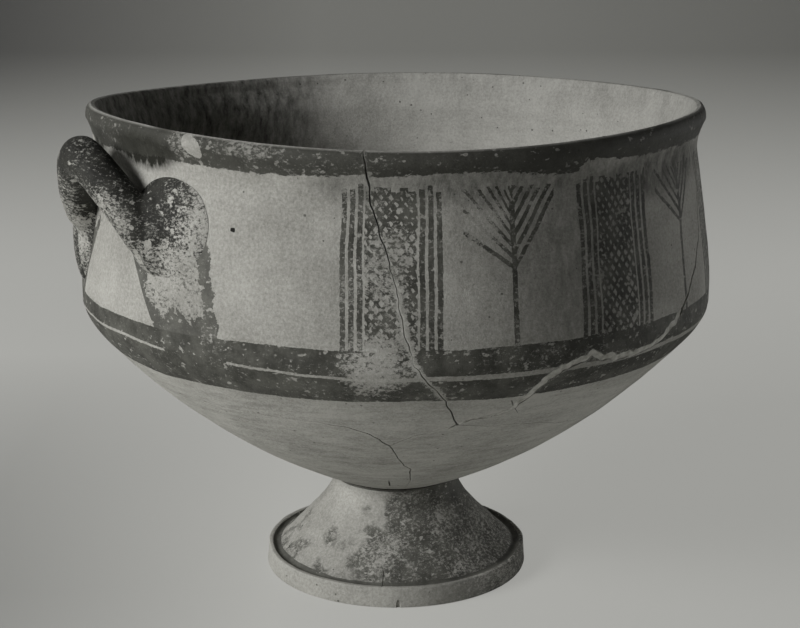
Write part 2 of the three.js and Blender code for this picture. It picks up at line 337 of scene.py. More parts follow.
def node_modifier(piece: Piece, tree: bpy.types.NodeTree, inputs: Mapping[str, Feed]) -> None:
    """Puts a Geometry Nodes tree on a piece and sets its inputs by their sockets' identifiers."""
    change = piece.modifiers.new(tree.name, "NODES")
    change.node_group = tree
    for item in tree.interface.items_tree:
        if item.in_out == "INPUT" and item.name in inputs:
            change[item.identifier] = inputs[item.name]
    piece.update_tag()


def new_tree(name: str, inputs: Mapping[str, str]) -> tuple[NodeBook, bpy.types.Node]:
    """An empty Geometry Nodes tree with named inputs.

    Args:
        name: what the tree is called.
        inputs: the type of each input's socket, by its name.

    Returns:
        The book that writes it, and its input node.
    """
    tree = bpy.data.node_groups.new(name, "GeometryNodeTree")
    for label, kind in inputs.items():
        tree.interface.new_socket(name=label, in_out="INPUT", socket_type=kind)
    tree.interface.new_socket(name="Geometry", in_out="OUTPUT", socket_type="NodeSocketGeometry")
    book = NodeBook(tree)
    return book, tree.nodes.new("NodeGroupInput")


def finish_tree(book: NodeBook, shape: Socket, material: Socket) -> bpy.types.NodeTree:
    """Ends a tree in Realize Instances and Set Material, and returns it."""
    real = book.add("GeometryNodeRealizeInstances", (shape,))
    dressed = book.add("GeometryNodeSetMaterial", {"Geometry": real, "Material": material})
    book.add("NodeGroupOutput", (dressed,))
    return book.tree


def wheel_tree() -> bpy.types.NodeTree:
    """A potter's wheel: turns an outline, given as a string of edges in X and Z, into a closed thrown form."""
    book, given = new_tree(
        "potters_wheel",
        {"Outline": "NodeSocketGeometry", "Columns": "NodeSocketInt", "Rows": "NodeSocketInt",
         "Clay": "NodeSocketMaterial"},
    )
    take = given.outputs
    outline = book.add("GeometryNodeMeshToCurve", (take["Outline"],))
    sheet = book.add("GeometryNodeMeshGrid", (1.0, 1.0, take["Columns"], take["Rows"]))
    place = book.add("GeometryNodeInputPosition")
    across = book.add("ShaderNodeSeparateXYZ", (place,), "X")
    along = book.add("ShaderNodeSeparateXYZ", (place,), "Y")
    spot = book.add(
        "GeometryNodeSampleCurve",
        {"Curves": outline, "Factor": book.formula("along + 0.5", along=along)},
        "Position", mode="FACTOR",
    )
    radius = book.add("ShaderNodeSeparateXYZ", (spot,), "X")
    height = book.add("ShaderNodeSeparateXYZ", (spot,), "Z")
    turn = book.formula("across * full_turn", across=across, full_turn=2 * math.pi)
    x = book.formula("radius * sin(turn)", radius=radius, turn=turn)
    y = book.formula("-radius * cos(turn)", radius=radius, turn=turn)
    spun = book.add("ShaderNodeCombineXYZ", (x, y, height))
    thrown = book.add("GeometryNodeSetPosition", {"Geometry": sheet, "Position": spun})
    closed = book.add("GeometryNodeMergeByDistance", {"Geometry": thrown, "Distance": 1e-6})
    return finish_tree(book, closed, take["Clay"])


def coil_tree() -> bpy.types.NodeTree:
    """A rolled coil of clay along a string of edges, a little thicker towards its ends."""
    book, given = new_tree(
        "rolled_coil",
        {"Path": "NodeSocketGeometry", "Radius": "NodeSocketFloat", "Swell": "NodeSocketFloat",
         "Sides": "NodeSocketInt", "Clay": "NodeSocketMaterial"},
    )
    take = given.outputs
    path = book.add("GeometryNodeMeshToCurve", (take["Path"],))
    factor = book.add("GeometryNodeSplineParameter")
    scale = book.formula("1 + swell * abs(factor * 2 - 1) ** 6", swell=take["Swell"], factor=factor)
    ring = book.add("GeometryNodeCurvePrimitiveCircle", {"Resolution": take["Sides"], "Radius": take["Radius"]})
    rolled = {"Curve": path, "Profile Curve": ring, "Scale": scale, "Fill Caps": True}
    return finish_tree(book, book.add("GeometryNodeCurveToMesh", rolled), take["Clay"])


@dataclass(frozen=True)
class Wheel:
    """Throws closed forms from their outlines."""

    tree: bpy.types.NodeTree

    def throw(self, name: str, outline: Array, columns: int, rows: int, clay: Material) -> Piece:
        """Turns an outline about the axis.

        Args:
            name: what the form is called.
            outline: rows of radius and height in millimetres, from axis to axis.
            columns: facets round the axis.
            rows: facets along the outline.
            clay: its material.

        Returns:
            The thrown form, closed and with its faces outwards.
        """
        points = np.stack([outline[:, 0], np.zeros(len(outline)), outline[:, 1]], axis=1)
        line = new_object(name, points, [], [(k, k + 1) for k in range(len(points) - 1)])
        node_modifier(line, self.tree, {"Columns": columns + 1, "Rows": rows + 1, "Clay": clay})
        made = baked(line, name)
        turn_outwards(made)
        return made

    def egg(
        self, name: str, halves: tuple[float, float, float], columns: int, rows: int, clay: Material
    ) -> tuple[Piece, Array]:
        """A closed ball of 1 mm, and its points stretched to an egg's half sizes along X, Y and Z."""
        up = np.linspace(-math.pi / 2, math.pi / 2, rows)
        egg = self.throw(name, np.stack([np.cos(up), np.sin(up)], axis=1), columns, rows, clay)
        return egg, mesh_points(egg) * halves


@dataclass(frozen=True)
class WallShape:
    """The bowl's section. Heights are above its seat, and each pair is a radius and a height."""

    seat: float
    stem: float = 32.4
    cone_top: tuple[float, float] = (145.7, 81)
    cone_sag: float = 7.4
    belly: tuple[float, float] = (157.4, 101)
    belly_bend: float = 0.585
    neck: tuple[float, float] = (148.2, 172)
    neck_bend: float = 0.22
    lip: tuple[float, float] = (152, 186.5)
    rim: float = 192.2
    lip_wall: float = 6
    neck_wall: float = 7
    belly_wall: float = 8
    cone_top_wall: float = 7.2
    inner_sag: float = 4.4
    floor: tuple[float, float] = (26, 12)
    two_wave: float = 1.65
    two_wave_azimuth: float = 72.5
    three_wave: float = 1.35
    three_wave_azimuth: float = 27
    wave_depth: float = 61.2

    def outside(self, grow: float = 0) -> list[Stretch]:
        """The outside from the seat to the lip, moved out by grow."""
        cone_bend = sag_bend((self.stem, 0), self.cone_top, self.cone_sag)
        shoulder = self.cone_top[1] + (self.belly[1] - self.cone_top[1]) * self.belly_bend
        draw_in = self.belly[1] + (self.neck[1] - self.belly[1]) * self.neck_bend
        flare = (self.neck[1] + self.lip[1]) / 2
        return [
            Stretch((self.cone_top[0] + grow, self.cone_top[1]), (cone_bend[0] + grow, cone_bend[1])),
            Stretch((self.belly[0] + grow, self.belly[1]), (self.belly[0] + grow, shoulder)),
            Stretch((self.neck[0] + grow, self.neck[1]), (self.belly[0] + grow, draw_in)),
            Stretch((self.lip[0] + grow, self.lip[1]), (self.neck[0] + grow, flare)),
        ]

    def section(self, spacing: float) -> Array:
        """The whole outline, up the outside, over the rim and down the inside, from axis to axis."""
        lip_inside = self.lip[0] - self.lip_wall
        neck_inside = self.neck[0] - self.neck_wall
        belly_inside = self.belly[0] - self.belly_wall
        cone_inside = (self.cone_top[0] - self.cone_top_wall, self.cone_top[1])
        shoulder = self.cone_top[1] + (self.belly[1] - self.cone_top[1]) * self.belly_bend
        draw_in = self.belly[1] + (self.neck[1] - self.belly[1]) * self.neck_bend
        stretches = [
            Stretch((self.stem, 0)),
            *self.outside(),
            Stretch((self.lip[0] - self.lip_wall / 2, self.rim), (self.lip[0], self.rim)),
            Stretch((lip_inside, self.lip[1]), (lip_inside, self.rim)),
            Stretch((neck_inside, self.neck[1]), (neck_inside, (self.neck[1] + self.lip[1]) / 2)),
            Stretch((belly_inside, self.belly[1]), (belly_inside, draw_in)),
            Stretch(cone_inside, (belly_inside, shoulder)),
            Stretch(self.floor, sag_bend(self.floor, cone_inside, self.inner_sag)),
            Stretch((0, self.floor[1])),
        ]
        return drawn((0, 0), stretches, spacing) + (0, self.seat)

    def envelope(self, grow: float, spacing: float) -> Array:
        """The outside as a full form, grown a little: what the handles are cut back by."""
        stretches = [
            Stretch((self.stem + grow, 0)),
            *self.outside(grow),
            Stretch((self.neck[0] + grow, self.rim + grow), (self.lip[0] + grow, self.rim)),
            Stretch((0, self.rim + grow)),
        ]
        return drawn((0, 0), stretches, spacing) + (0, self.seat)

    def waved(self, points: Array) -> Array:
        """Lifts and lowers the upper wall so that its rim waves."""
        turn = np.arctan2(points[:, 0], -points[:, 1])
        wave = self.two_wave * np.cos(2 * (turn - math.radians(self.two_wave_azimuth)))
        wave += self.three_wave * np.cos(3 * (turn - math.radians(self.three_wave_azimuth)))
        share = smoothstep(points[:, 2] - self.seat, self.rim - self.wave_depth, self.lip[1])
        return points + np.outer(share * wave, (0, 0, 1))

    def radius(self, height: Array | float) -> Array:
        """The outside's radius at a height above the seat."""
        line = drawn((self.stem, 0), self.outside(), 1.0)
        return np.interp(height, line[:, 1], line[:, 0])

    def slope(self, height: Array | float) -> Array:
        """How far the radius grows for each millimetre of height, with the neck's slope held to the rim."""
        reach = 5.0
        low = np.maximum(0, np.minimum(height, self.neck[1]) - reach)
        return (self.radius(low + 2 * reach) - self.radius(low)) / (2 * reach)

    def level(self, share: Array) -> Array:
        """Height of a level: 0 is the seat, 1 the cone's top, 2 the belly, 3 the neck and 4 the rim."""
        stations = [0, self.cone_top[1], self.belly[1], self.neck[1], self.rim]
        past = self.rim + np.maximum(share - 4, 0) * (self.rim - self.neck[1])
        return np.where(share > 4, past, np.interp(share, range(5), stations))


@dataclass(frozen=True)
class Break:
    """A break through the wall. Each place is an azimuth, a level, the gap and how far slip has flaked off."""

    places: tuple[tuple[float, float, float, float], ...]
    worn_edge: float = 0.5
    wander: float = 0.45
    seed: int = 1

    def trace(self, wall: WallShape, step: float = 1.3) -> "Trace":
        """Follows the break over the wall in small steps, wandering a little as broken clay does."""
        rows = []
        for low, high in zip(self.places, self.places[1:]):
            heights = wall.level(np.array([low[1], high[1]]))
            turn = math.radians(high[0] - low[0]) * wall.radius(heights.mean())
            count = max(1, math.ceil(math.hypot(turn, heights[1] - heights[0]) / step))
            share = np.linspace(0, 1, count + 1)[:-1, None]
            rows.append(np.array(low) * (1 - share) + np.array(high) * share)
        spots = np.vstack([*rows, np.array(self.places[-1])[None]])
        height = wall.level(spots[:, 1])
        point = around(wall.radius(height), spots[:, 0], height + wall.seat)
        out = around(1.0, spots[:, 0], -wall.slope(height))
        out /= np.linalg.norm(out, axis=1, keepdims=True)
        along = np.gradient(point, axis=0)
        along /= np.linalg.norm(along, axis=1, keepdims=True)
        side = np.cross(along, out)
        side /= np.linalg.norm(side, axis=1, keepdims=True)
        ease = np.minimum(1, np.minimum(np.arange(len(point)), np.arange(len(point))[::-1]) / 5)
        jag = unevenness(point, 5, self.seed) * 0.4 + unevenness(point, 16, self.seed + 1) * 0.6
        point = point + side * (jag * ease * self.wander)[:, None]
        point[0] -= along[0] * 0.4
        point[-1] += along[-1] * 0.4
        return Trace(point, out, side, spots[:, 2], spots[:, 3])


@dataclass(frozen=True)
class Trace:
    """A break followed over the wall, one place a row."""

    point: Array
    out: Array
    side: Array
    gap: Array
    bare: Array

    def knife(self, name: str, worn_edge: float, inwards: float = 17, outwards: float = 3) -> Piece:
        """A thin closed sheet along the break, wider at the surface, where the edges have worn.

        Args:
            name: what the sheet is called.
            worn_edge: how deep the worn edge goes, and how much wider each side is where the slip is gone too.
            inwards: how far it reaches into the clay.
            outwards: how far it stands out.

        Returns:
            The sheet, whose faces take the second material of what it cuts.
        """
        half = self.gap[:, None] / 2
        worn = worn_edge * np.minimum(1, self.bare)[:, None]
        corners = []
        for depth, spare in ((-inwards, 0.0), (-worn_edge - 0.05, 0.0), (0.0, worn), (outwards, worn)):
            corners.append((half + spare, depth))
        ring = [self.point + self.side * width + self.out * depth for width, depth in corners]
        ring += [self.point - self.side * width + self.out * depth for width, depth in corners[::-1]]
        size = len(ring)
        points = np.stack(ring, axis=1).reshape(-1, 3)
        faces = []
        for i in range(len(self.point) - 1):
            for k in range(size):
                after = (k + 1) % size
                a, b, c, d = i * size + k, i * size + after, (i + 1) * size + after, (i + 1) * size + k
                faces.extend(((a, b, c), (a, c, d)) if k < size / 2 else ((a, b, d), (b, c, d)))
        last = (len(self.point) - 1) * size
        faces.append(tuple(range(size))[::-1])
        faces.append(tuple(last + k for k in range(size)))
        sheet = new_object(name, points, faces)
        turn_outwards(sheet)
        return sheet


def carved(piece: Piece, tool: Piece, slip: Material, bare: Material) -> Piece:
    """Cuts a tool's shape out of a piece, and gives the cut's faces the second of the tool's materials."""
    for material in (slip, bare):
        tool.data.materials.append(material)
    tool.data.polygons.foreach_set("material_index", [1] * len(tool.data.polygons))
    return cut(piece, tool, Cut.AWAY)


def new_material(name: str) -> tuple[Material, NodeBook]:
    """An empty node material, and the book that writes it."""
    material = bpy.data.materials.new(name)
    material.use_nodes = True
    return material, NodeBook(material.node_tree)


@dataclass(frozen=True)
class Finish:
    """What all finishes of this vessel share: fired clay, matt, cloudy, gritty and pitted.

    Colours are greys with a trace of warmth, because the picture that the bowl is matched to has no colour.
    """

    name: str
    clay: str = "#b4b3ad"
    clay_dark: str = "#7d7c76"
    slip: str = "#2d2d28"
    slip_thin: str = "#50504a"
    roughness: float = 0.82
    grain: float = 0.8
    pit_spacing: float = 5.2

    def start(self) -> tuple[Material, NodeBook, Socket]:
        """A new material, the book that writes it and knows this finish's sizes, and places in millimetres."""
        material, book = new_material(self.name)
        book.known.update(vars(self))
        metres = book.add("ShaderNodeTexCoord", out="Object")
        return material, book, book.add("ShaderNodeVectorMath", {0: metres, "Scale": 1 / MM}, operation="SCALE")

    def locate(self, book: NodeBook, place: Socket) -> None:
        """Lets the book's formulas use x, y and z, and the distance from the axis as spread."""
        for axis in "XYZ":
            book.known[axis.lower()] = book.add("ShaderNodeSeparateXYZ", (place,), axis)
        book.known["spread"] = book.formula("sqrt(x * x + y * y)")

    def pits(self, book: NodeBook, place: Socket) -> Socket:
        """1 in the small round pits that grit leaves when it falls out of the surface, most under 1 mm wide."""
        cells = {"Vector": place, "Scale": 1 / self.pit_spacing}
        distance = book.add("ShaderNodeTexVoronoi", cells, "Distance")
        draw = book.add("ShaderNodeSeparateColor", (book.add("ShaderNodeTexVoronoi", cells, "Color"),), "Red")
        return book.formula("distance < (draw - 0.42) * 0.2", distance=distance, draw=draw)

    def streaks(self, book: NodeBook) -> Socket:
        """Long smears that run round the vessel, as wiping it on the wheel leaves them, 8 mm by 1.5 mm."""
        ways = [book.formula(way) for way in ("abs(atan2(x, -y)) * spread / 15", "y * 0.004", "z / 2.6")]
        drawn_out = book.add("ShaderNodeCombineXYZ", ways)
        return book.add("ShaderNodeTexNoise", spots(drawn_out, 1, 6, 0.78))

    def clay_colour(self, book: NodeBook, place: Socket, streaky: Feed, pale: Feed = 0.5) -> Socket:
        """Fired clay: clouds of 35 mm, smears, grit of about 1 mm and dark pits; pale is how light it is."""
        cloud = book.add("ShaderNodeTexNoise", spots(place, 35, 4, 0.6))
        grit = book.add("ShaderNodeTexNoise", spots(place, 1.3, 4, 0.75))
        share = book.formula(
            "pale + (cloud - 0.5) * 1.2 + (grit - 0.5) * 1.6 + (streak - 0.5) * streaky", pale=pale,
            cloud=cloud, grit=grit, streak=self.streaks(book), streaky=streaky,
        )
        kept = book.add("ShaderNodeMapRange", (share, 0.0, 1.0, 0.0, 1.0))
        base = book.add("ShaderNodeMix", tones(kept, self.clay_dark, self.clay), 2, data_type="RGBA")
        pits = book.formula("pits * 0.7", pits=self.pits(book, place))
        return book.add("ShaderNodeMix", tones(pits, base, "#3a3a35"), 2, data_type="RGBA")

    def slip_colour(self, book: NodeBook, place: Socket, thin: Feed = 1.0) -> Socket:
        """Dark slip, brushed on thick and thin; thin is how far its thin places go."""
        cloud = book.add("ShaderNodeTexNoise", spots(place, 11, 5, 0.65))
        share = book.add("ShaderNodeMapRange", (cloud, 0.36, 0.66, 0.0, 1.0), interpolation_type="SMOOTHSTEP")
        share = book.formula("share * thin", share=share, thin=thin)
        return book.add("ShaderNodeMix", tones(share, self.slip, self.slip_thin), 2, data_type="RGBA")

    def left_over(self, book: NodeBook, place: Socket, wear: Feed, size: float, soft: float = 0.045) -> Socket:
        """Where slip is left: it flakes off in crumbs, more in some patches than in others.

        Args:
            book: writes the nodes.
            place: object coordinates in millimetres.
            wear: how much is gone, from about 0.3, a few flakes, to 0.6, nearly all.
            size: of the largest crumbs in millimetres, about twice the real ones, so that they show.
            soft: how gradually the slip thins out towards a bare place.

        Returns:
            1 where there is slip, 0 where it is gone.
        """
        flat = book.add("ShaderNodeVectorMath", (place, (1.0, 1.0, 1.5)), operation="MULTIPLY")
        crumbs = spots(flat, size, 6, 0.8)
        flakes = spots(flat, 4.6, 2, 0.5)
        patches = spots(place, 24, 3, 0.6)
        limit = book.formula(
            "(wear - 0.5 + (patches - 0.5) * 0.4 + max(0, flakes - 0.62) * 3) * 0.8 + 0.5", wear=wear,
            patches=book.add("ShaderNodeTexNoise", patches), flakes=book.add("ShaderNodeTexNoise", flakes),
        )
        low, high = (book.formula("limit + step", limit=limit, step=step) for step in (-soft, soft + 0.02))
        feeds = (book.add("ShaderNodeTexNoise", crumbs), low, high, 0.0, 1.0)
        return book.add("ShaderNodeMapRange", feeds, interpolation_type="SMOOTHSTEP")

    def strip_paint(self, book: NodeBook, place: Socket) -> tuple[Socket, Socket]:
        """The strip of slip below each handle root.

        Args:
            book: writes the nodes.
            place: object coordinates in millimetres.

        Returns:
            Where the strip is, and where in it the slip is thick: along its two edges and low down.
        """
        sway = book.add("ShaderNodeTexNoise", spots(place, 9, 5, 0.7))
        off = book.formula("abs(abs(atan2(x, -y)) * degrees - 90)")
        inner = book.formula("off - 7.5 - (187 - z) * 0.235", off=off)
        outer = book.formula("26.9 + (182 - z) * 0.07 + (sway - 0.5) * 4 - off", sway=sway, off=off)
        seen = {"inner": inner, "outer": outer, "sway": sway}
        area = book.formula("(inner > 0) * (outer > 0) * (z + (sway - 0.5) * 30 < 196) * (z > 140)", **seen)
        near = book.formula("min(inner, outer) < 1.2 + (sway - 0.4) * 10", **seen)
        low = book.formula("z + (sway - 0.5) * 34 < 163", sway=sway)
        return area, book.formula("area * max(near, low)", area=area, near=near, low=low)

    def end(self, book: NodeBook, colour: Socket, roughness: Feed, height: Socket) -> None:
        """Adds the shader, with a bump whose height is in millimetres."""
        normal = book.add("ShaderNodeBump", {"Strength": 1.0, "Distance": MM, "Height": height})
        feeds = {"Base Color": colour, "Roughness": roughness, "Normal": normal, "Specular IOR Level": 0.16}
        book.add("ShaderNodeOutputMaterial", (book.add("ShaderNodeBsdfPrincipled", feeds),))


@dataclass(frozen=True)
class PaintedWall(Finish):
    """Slip-painted earthenware, wheel-thrown and wiped: matt pale clay, and dark patterns partly flaked off."""

    radius: float = 153
    panel_azimuth: float = 6.6
    panel_pitch: float = 39.7
    lattice_half: float = 10.8
    diamond: tuple[float, float] = (4.2, 5.4)
    lattice_line: float = 0.3
    first_line: float = 12.9
    line_pitch: float = 3.6
    line_half: float = 1.15
    tree_azimuth: float = -13.4
    tree_foot: float = 188.5
    tree_top: float = 222.5
    tree_step: float = 8.0
    branch_pitch: float = 6.4
    fan_pitch: float = 4.3
    band: tuple[float, float] = (130.1, 155.8)
    reserved: float = 142.6
    panel_top: float = 224.2
    cone_top: float = 130.0

    def build(self) -> Material:
        """Builds the material."""
        material, book, place = self.start()
        self.locate(book, place)
        shaken = self.brush_shake(book, place)
        x, y, z = (book.add("ShaderNodeSeparateXYZ", (shaken,), axis) for axis in "XYZ")
        turn = book.formula("atan2(x, -y) * degrees", x=x, y=y)
        mm = math.radians(1) * self.radius
        run = book.formula("wrap(turn, 90, -90) * mm", turn=turn, mm=mm)
        figures = self.figures(book, place, run, z)
        bands = self.bands(book, turn, z)
        inside = book.add("ShaderNodeAttribute", out="Fac", attribute_name="inside")
        bare = book.add("ShaderNodeAttribute", out="Fac", attribute_name="bare")
        strip, thick = self.strip_paint(book, place)
        left_rim = book.formula(
            "(z > 222) * (turn > -76 + (z - 229) * 0.6) * fade", z=z, turn=turn,
            fade=book.add("ShaderNodeMapRange", (turn, -34.0, -12.0, 0.03, -0.06)),
        )
        wear = book.formula(
            "0.33 + figures * 0.06 + bare * 0.42 + (strip - thick) * 0.24 + left_rim",
            figures=figures, bare=bare, strip=strip, thick=thick, left_rim=left_rim,
        )
        painted = book.formula("max(max(figures, bands), strip)", figures=figures, bands=bands, strip=strip)
        chip = self.mark(book, turn, z, -67.2, 236.6, (5.4, 4.2), 0.4)
        spared = book.formula("(1 - inside) * (1 - chip * 0.85)", inside=inside, chip=chip)
        left = self.left_over(book, place, wear, 2.2)
        stain = self.stain(book, z, figures, bands)
        shown = book.formula(
            "painted * spared * (left + (1 - left) * stain) * (1 - strip * (z > top) * 0.12)",
            painted=painted, spared=spared, left=left, strip=strip, stain=stain, z=z, top=self.band[1],
        )
        low = book.add("ShaderNodeMapRange", (z, self.cone_top - 4, self.cone_top, 1.9, 0.4))
        # The cone's clay is painted lighter by 0.26: painted light, standing in for light thrown up from the
        # floor onto its underside.
        pale = book.formula(
            "0.42 + inside * 0.36 + bare * bare * (1 - inside) * 0.5 + (z < cone_top) * 0.26",
            inside=inside, bare=bare, z=z,
        )
        clay = self.clay_colour(book, place, low, pale)
        # Painted shade and thin slip smears darken the clay here.
        shaded_clay = self.shade_and_smear(book, place, clay)
        thin = book.add("ShaderNodeMapRange", (z, 214.0, 228.0, 1.0, 0.3))
        share, slip = book.formula("shown * 0.93", shown=shown), self.slip_colour(book, place, thin)
        colour = book.add("ShaderNodeMix", tones(share, shaded_clay, slip), 2, data_type="RGBA")
        spot = self.mark(book, turn, z, -59.5, 202.5, (1.3, 0.9))
        colour = book.add("ShaderNodeMix", tones(spot, colour, "#1c1c19"), 2, data_type="RGBA")
        roughness = book.formula("roughness - shown * 0.14", shown=shown)
        self.end(book, colour, roughness, self.surface(book, place, shown))
        return material

    def brush_shake(self, book: NodeBook, place: Socket) -> Socket:
        """Coordinates moved about a little, so that no painted edge is ruled: slow sway and ragged edges."""
        moved = place
        for size, reach in ((32, 1.5), (1.5, 0.45)):
            noise = book.add("ShaderNodeTexNoise", {"Vector": place, "Scale": 1 / size, "Detail": 2.0}, "Color")
            centred = book.add("ShaderNodeVectorMath", (noise, (0.5, 0.5, 0.5)), operation="SUBTRACT")
            scaled = book.add("ShaderNodeVectorMath", {0: centred, "Scale": reach * 2}, operation="SCALE")
            moved = book.add("ShaderNodeVectorMath", (moved, scaled), operation="ADD")
        return moved

    def stain(self, book: NodeBook, z: Socket, figures: Socket, bands: Socket) -> Socket:
        """How dark the clay stays where slip is gone: most in the rim band, least in the belly band."""
        return book.formula(
            "bands * ((z > panel_top) * 0.3 + 0.08) + figures * 0.12", bands=bands, z=z, figures=figures
        )

    def mark(
        self, book: NodeBook, turn: Socket, z: Socket, azimuth: float, height: float, half: tuple[float, float],
        slant: float = 0.0,
    ) -> Socket:
        """1 in one oval mark, from its middle in degrees and millimetres, its half sizes and its slant down."""
        across = book.formula("(turn - azimuth) / degrees * radius", turn=turn, azimuth=azimuth)
        return book.formula(
            "(abs(across) / wide) ** 2.6 + (abs(z - height + across * slant) / tall) ** 2.6 < 1", across=across,
            slant=slant, wide=half[0], z=z, height=height, tall=half[1],
        )

    def bands(self, book: NodeBook, turn: Socket, z: Socket) -> Socket:
        """The rim band, and the belly band, whose reserved line is finer on the left and stops below a root."""
        edge = book.add("ShaderNodeAttribute", out="Fac", attribute_name="rim_edge")
        wider = book.add("ShaderNodeMapRange", (turn, -38.0, -24.0, 0.65, 1.25))
        higher = book.add("ShaderNodeMapRange", (turn, -38.0, -84.0, 0.0, 5.0))
        line = book.formula(
            "(abs(z - reserved - higher) < half) * (abs(turn + 64.3) > 4.2)", z=z, higher=higher, half=wider,
            turn=turn,
        )
        return book.formula(
            "max(z > edge + ragged, (z > low) * (z < high) * (1 - line))", z=z, edge=edge, low=self.band[0],
            ragged=self.ragged(book, turn, z), high=self.band[1], line=line,
        )

    def ragged(self, book: NodeBook, turn: Socket, z: Socket) -> Socket:
        """How far the rim band's brushed edge stands off from its plain line, in millimetres."""
        spot = book.add("ShaderNodeCombineXYZ", (turn, z, 0.0))
        noise = book.add("ShaderNodeTexNoise", spots(spot, 1 / 0.45, 5, 0.75))
        return book.formula("(noise - 0.5) * 7", noise=noise)

    def figures(self, book: NodeBook, place: Socket, run: Socket, z: Socket) -> Socket:
        """Three panels of lattice between triple lines, with a palm tree between each two."""
        mm = math.radians(1) * self.radius
        pitch = self.panel_pitch * mm
        middle = self.panel_azimuth * mm
        panel = book.formula("abs(wrap(run - middle, half, -half))", run=run, middle=middle, half=pitch / 2)
        side = book.formula(
            "wrap(run - middle, half, -half)", run=run, middle=self.tree_azimuth * mm, half=pitch / 2
        )
        away = book.formula("abs(run - middle)", run=run, middle=middle)
        lines = book.formula(
            "abs(panel - first - min(max(round((panel - first) / line_pitch), 0), 2) * line_pitch) < line_half",
            panel=panel, first=self.first_line,
        )
        lattice = self.lattice(book, place, run, z, panel)
        panels = book.formula(
            "max(lattice, lines) * (away < reach)", lattice=lattice, lines=lines, away=away, reach=pitch + 21.5
        )
        higher = book.formula("z - (run > middle) * tree_step", z=z, run=run, middle=middle)
        tree = self.tree(book, side, higher)
        trees = book.formula("tree * (away < reach) * (z < tree_top)", tree=tree, away=away, reach=pitch, z=z)
        return book.formula(
            "max(panels, trees) * (z > foot)"
            " * (z < panel_top - 1.6 + sin(round(run / line_pitch) * 2.4) * 1.6)",
            panels=panels, trees=trees, z=z, run=run, foot=self.band[1] - 0.3,
        )

    def lattice(self, book: NodeBook, place: Socket, run: Socket, z: Socket, panel: Socket) -> Socket:
        """Crossed slanting lines, uneven in width, which leave small diamonds of clay or close up."""
        noise = book.add("ShaderNodeTexNoise", {"Vector": place, "Scale": 1 / 6.5, "Detail": 3.0})
        line = book.formula("lattice_line + (noise - 0.5) * 0.7 + (run > 60) * 0.03", noise=noise, run=run)
        wide, tall = self.diamond
        values = {"run": run, "z": z, "wide": wide, "tall": tall, "line": line}
        up = book.formula("pingpong(run / wide + z / tall, 0.5) < line * 1.08", **values)
        down = book.formula("pingpong(run / wide - z / tall, 0.5) < line * 0.8", **values)
        return book.formula(
            "max(up, down) * (panel < lattice_half) * (z < panel_top - 1)", up=up, down=down, panel=panel, z=z
        )

    def tree(self, book: NodeBook, side: Socket, z: Socket) -> Socket:
        """A palm tree: a stem, parallel slanting branches on its right and a flatter fan on its left."""
        right = book.formula("z - side * 1.5 - tree_foot", z=z, side=side)
        left = book.formula("(z + side * 0.74 - tree_foot) / (1 - side * 0.045) / fan_pitch", z=z, side=side)
        rising = book.formula(
            "(side > -0.6) * (side < 20.5) * (right > -1.9) * (pingpong(right / branch_pitch, 0.5) < 0.25)",
            side=side, right=right,
        )
        fanned = book.formula(
            "(side < 0.6) * (side > -22.5) * (left > -0.25)"
            " * (pingpong(left, 0.5) * fan_pitch * (1 - side * 0.045) < 1.1)",
            side=side, left=left,
        )
        stem = book.formula("(abs(side) < 1.2) * (z < 216)", side=side, z=z)
        return book.formula("max(stem, max(rising, fanned))", stem=stem, rising=rising, fanned=fanned)

    def shade_and_smear(self, book: NodeBook, place: Socket, clay: Socket) -> Socket:
        """Darkens the clay where the attribute says so, in upright smears: inside, painted shade on the left
        wall and a darkening near the rim; outside, thin slip smears and painted shade, the left handle's cast
        shadow, shade under the rim and on the front's right.
        """
        stained = book.add("ShaderNodeAttribute", out="Fac", attribute_name="shade_and_smear")
        drawn_out = book.add("ShaderNodeVectorMath", (place, (1.0, 1.0, 0.35)), operation="MULTIPLY")
        smears = book.add("ShaderNodeTexNoise", spots(drawn_out, 4.2, 4, 0.7))
        share = book.formula("stained * (0.55 + (smears - 0.5) * 1.8)", stained=stained, smears=smears)
        held = book.add("ShaderNodeMapRange", (share, 0.0, 1.0, 0.0, 1.0))
        # 24241f is the tone of the painted shade and of the smears.
        return book.add("ShaderNodeMix", tones(held, clay, "#24241f"), 2, data_type="RGBA")

    def surface(self, book: NodeBook, place: Socket, shown: Socket) -> Socket:
        """Height of the surface in millimetres: grit, soft lumps, wiping marks, pits and the slip's body."""
        grit = book.add("ShaderNodeTexNoise", spots(place, self.grain, 3, 0.7))
        lumps = book.add("ShaderNodeTexNoise", spots(place, 7, 4, 0.55))
        return book.formula(
            "grit * 0.24 + lumps * 0.42 + streaks * 0.3 - pits * 0.3 + shown * 0.05",
            grit=grit, lumps=lumps, streaks=self.streaks(book), pits=self.pits(book, place), shown=shown,
        )


